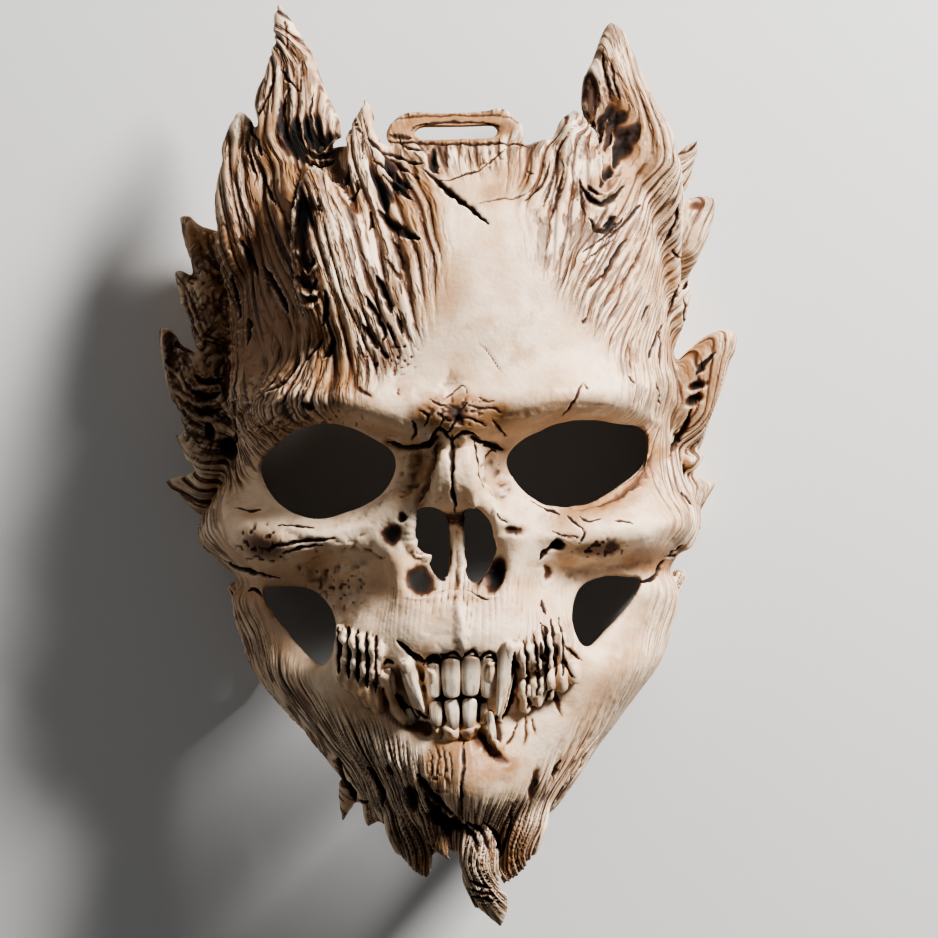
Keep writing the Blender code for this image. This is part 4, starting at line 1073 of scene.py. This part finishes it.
# The side facing the wearer is a plain dark brown, as such masks are painted inside; it also stands in
# for the shade inside the mask, so the holes read dark.
colour = tinted(colour, INSIDE, worn("hollow"))
wires.new(colour, shader.inputs["Base Color"])
rough = combined("ADD", between(mottle, 0.3, 0.7, 0.46, 0.62), combined("MULTIPLY", worn("wash_and_shade"), 0.35))
wires.new(rough, shader.inputs["Roughness"])
bump = nodes.new("ShaderNodeBump")
bump.inputs["Strength"].default_value = 0.7
bump.inputs["Distance"].default_value = 0.0010
furrow = between(hair_lines, 0.44, 0.64, 1.0, 0.0)
relief = combined("ADD", combined("MULTIPLY", furrow, worn("fibrous")), combined("MULTIPLY", pores, 0.25))
wires.new(relief, bump.inputs["Height"])
wires.new(bump.outputs["Normal"], shader.inputs["Normal"])
for band in bands:
    band.data.materials.clear()
    band.data.materials.append(resin)
    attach(band, "root")
    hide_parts("mask_shell")

# Teeth
# They are cast with the jaws, but carved crisper and polished harder than the bone round them.
# Each is given by root, tip and width in the photo, how far it stands proud in mm, and its point.
TEETH = (
    ((451, 658), (452, 698), 21.0, 1.3, 0.12),
    ((471, 656), (470, 696), 20.5, 1.5, 0.10),
    ((433, 663), (434, 698), 17.0, 1.0, 0.18),
    ((488, 658), (487, 698), 17.0, 1.4, 0.25),
    ((404, 660), (424, 710), 15.0, 2.4, 0.70),
    ((506, 642), (497, 715), 15.0, 3.0, 0.72),
    ((388, 668), (396, 694), 11.0, 2.0, 0.72),
    ((454, 730), (451, 699), 16.5, 0.5, -0.35),
    ((469, 730), (470, 698), 16.5, 0.7, -0.35),
    ((437, 727), (435, 701), 14.0, 0.5, -0.15),
    ((484, 728), (485, 702), 10.0, 0.3, -0.15),
    ((413, 724), (408, 708), 11.0, 1.8, 0.35),
    ((492, 745), (489, 710), 10.5, 2.2, 0.25),
)
TOOTH_CUTS = 5
FLUTE_DEPTH = 0.00007
TOOTH_DULL = (0.70, 0.56, 0.42)
TOOTH_LIGHT = (0.86, 0.74, 0.60)
TOOTH_STAIN = (0.30, 0.17, 0.09)
GUM_STAIN = (0.10, 0.045, 0.02)
bpy.ops.object.select_all(action="DESELECT")
row = []
for (root_x, root_y), (tip_x, tip_y), broad_px, proud, point in TEETH:
    root, tip = lifted(root_x, root_y), lifted(tip_x, tip_y)
    root.z = tip.z = 0.5 * (root.z + tip.z)
    run_down = (tip - root).normalized()
    out = Vector((root.x * 6, 0, 1)).normalized()
    out = (out - run_down * out.dot(run_down)).normalized()
    beside = run_down.cross(out)
    length = (tip - root).length / 2
    half = 0.5 * broad_px * PIXEL
    bpy.ops.mesh.primitive_cube_add(size=2)
    tooth = bpy.context.object
    bpy.ops.object.mode_set(mode="EDIT")
    bpy.ops.mesh.subdivide(number_cuts=TOOTH_CUTS)
    bpy.ops.object.mode_set(mode="OBJECT")
    middle = (root + tip) / 2 + out * (0.001 * proud - 0.6 * half)
    for corner in tooth.data.vertices:
        u, v, w = corner.co
        down = (v + 1) / 2
        taper = 1 - point * down**1.4 if point > 0 else 1 + point * (1 - down)
        narrow = taper * (1 - 0.16 * abs(2 * down - 1) ** 3)
        round_u = u * math.sqrt(1 - 0.42 * w * w)
        round_w = w * math.sqrt(1 - 0.42 * u * u) * (1 - 0.35 * down)
        bow = 0.10 * length * (1 - v * v) * (1 if point > 0.5 else 0.4)
        corner.co = (
            middle
            + run_down * (length * v * (1 - 0.10 * u * u))
            + beside * (half * narrow * round_u)
            + out * (half * (0.6 + 0.4 * taper) * round_w + bow)
        )
    rounded = tooth.modifiers.new("rounded", "SUBSURF")
    rounded.levels = rounded.render_levels = 2
    bpy.ops.object.modifier_apply(modifier=rounded.name)
    rootward = tooth.data.attributes.new("rootward", "FLOAT", "POINT")
    for corner in tooth.data.vertices:
        down = (corner.co - root).dot(run_down) / (2 * length)
        rootward.data[corner.index].value = 1 - min(max(down, 0), 1)
        flute = math.sin((corner.co - middle).dot(beside) / half * 7 + 2 * root_x)
        corner.co += out * (FLUTE_DEPTH * flute)
    row.append(tooth)
for tooth in row:
    tooth.select_set(True)
bpy.context.view_layer.objects.active = row[0]
bpy.ops.object.join()
teeth = bpy.context.object
teeth.name = "teeth"
bpy.ops.object.transform_apply(location=True, rotation=True, scale=True)
bpy.ops.object.mode_set(mode="EDIT")
bpy.ops.mesh.select_all(action="SELECT")
bpy.ops.mesh.normals_make_consistent(inside=False)
bpy.ops.object.mode_set(mode="OBJECT")
teeth.data.shade_smooth()
enamel = bpy.data.materials.new("painted_teeth")
enamel.use_nodes = True
nodes, wires = enamel.node_tree.nodes, enamel.node_tree.links
shader = nodes["Principled BSDF"]
place = nodes.new("ShaderNodeTexCoord").outputs["Object"]
drawn = nodes.new("ShaderNodeMapping")
drawn.inputs["Scale"].default_value = (1.0, 0.12, 1.0)
wires.new(place, drawn.inputs["Vector"])
fluting = speckle(drawn.outputs["Vector"], 900.0, 2.0)
cloudy = speckle(place, 260.0, 3.0)
rooted = worn("rootward")
tooth_colour = tinted(TOOTH_DULL, TOOTH_LIGHT, between(cloudy, 0.35, 0.65))
fluted = combined("MULTIPLY", between(fluting, 0.50, 0.72), 0.55)
tooth_colour = tinted(tooth_colour, TOOTH_STAIN, fluted)
neck = between(combined("ADD", rooted, combined("MULTIPLY", cloudy, 0.25)), 0.62, 1.12)
tooth_colour = tinted(tooth_colour, GUM_STAIN, combined("MULTIPLY", neck, 0.85))
wires.new(tooth_colour, shader.inputs["Base Color"])
wires.new(between(cloudy, 0.3, 0.7, 0.30, 0.45), shader.inputs["Roughness"])
chased = nodes.new("ShaderNodeBump")
chased.inputs["Strength"].default_value = 0.3
chased.inputs["Distance"].default_value = 0.0003
wires.new(fluting, chased.inputs["Height"])
wires.new(chased.outputs["Normal"], shader.inputs["Normal"])
teeth.data.materials.clear()
teeth.data.materials.append(enamel)
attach(teeth, "root")

# Table and light
# A plain pale table under a soft studio light. The key stands low on the viewer's right, so the
# left half falls into shade, and a faint fill lights the shade from the left.
TABLE = (0.78, 0.77, 0.75, 1)
STUDIO = (0.95, 0.97, 1.0, 1)
LAMPS = (
    ("key", (1.0, 0.95, 0.80), 0.40, 47.0),
    ("fill", (-1.4, 0.35, 0.9), 1.2, 2.5),
)
LAMP_AIM = Vector((0, 0, 0.05))
bpy.ops.object.select_all(action="DESELECT")
bpy.ops.mesh.primitive_plane_add(size=6, location=(0, 0, 0))
table = bpy.context.object
table.name = "table"
paint = bpy.data.materials.new("pale_table")
paint.use_nodes = True
shader = paint.node_tree.nodes["Principled BSDF"]
shader.inputs["Base Color"].default_value = TABLE
shader.inputs["Roughness"].default_value = 0.7
table.data.materials.append(paint)
scene.view_settings.look = "AgX - High Contrast"
world = bpy.data.worlds.new("studio")
scene.world = world
world.use_nodes = True
sky = world.node_tree.nodes["Background"]
sky.inputs["Color"].default_value = STUDIO
sky.inputs["Strength"].default_value = 0.10
for name, where, size, power in LAMPS:
    lamp = bpy.data.objects.new(name, bpy.data.lights.new(name, "AREA"))
    lamp.data.size = size
    lamp.data.energy = power
    lamp.location = where
    lamp.rotation_euler = (LAMP_AIM - Vector(where)).to_track_quat("-Z", "Y").to_euler()
    scene.collection.objects.link(lamp)
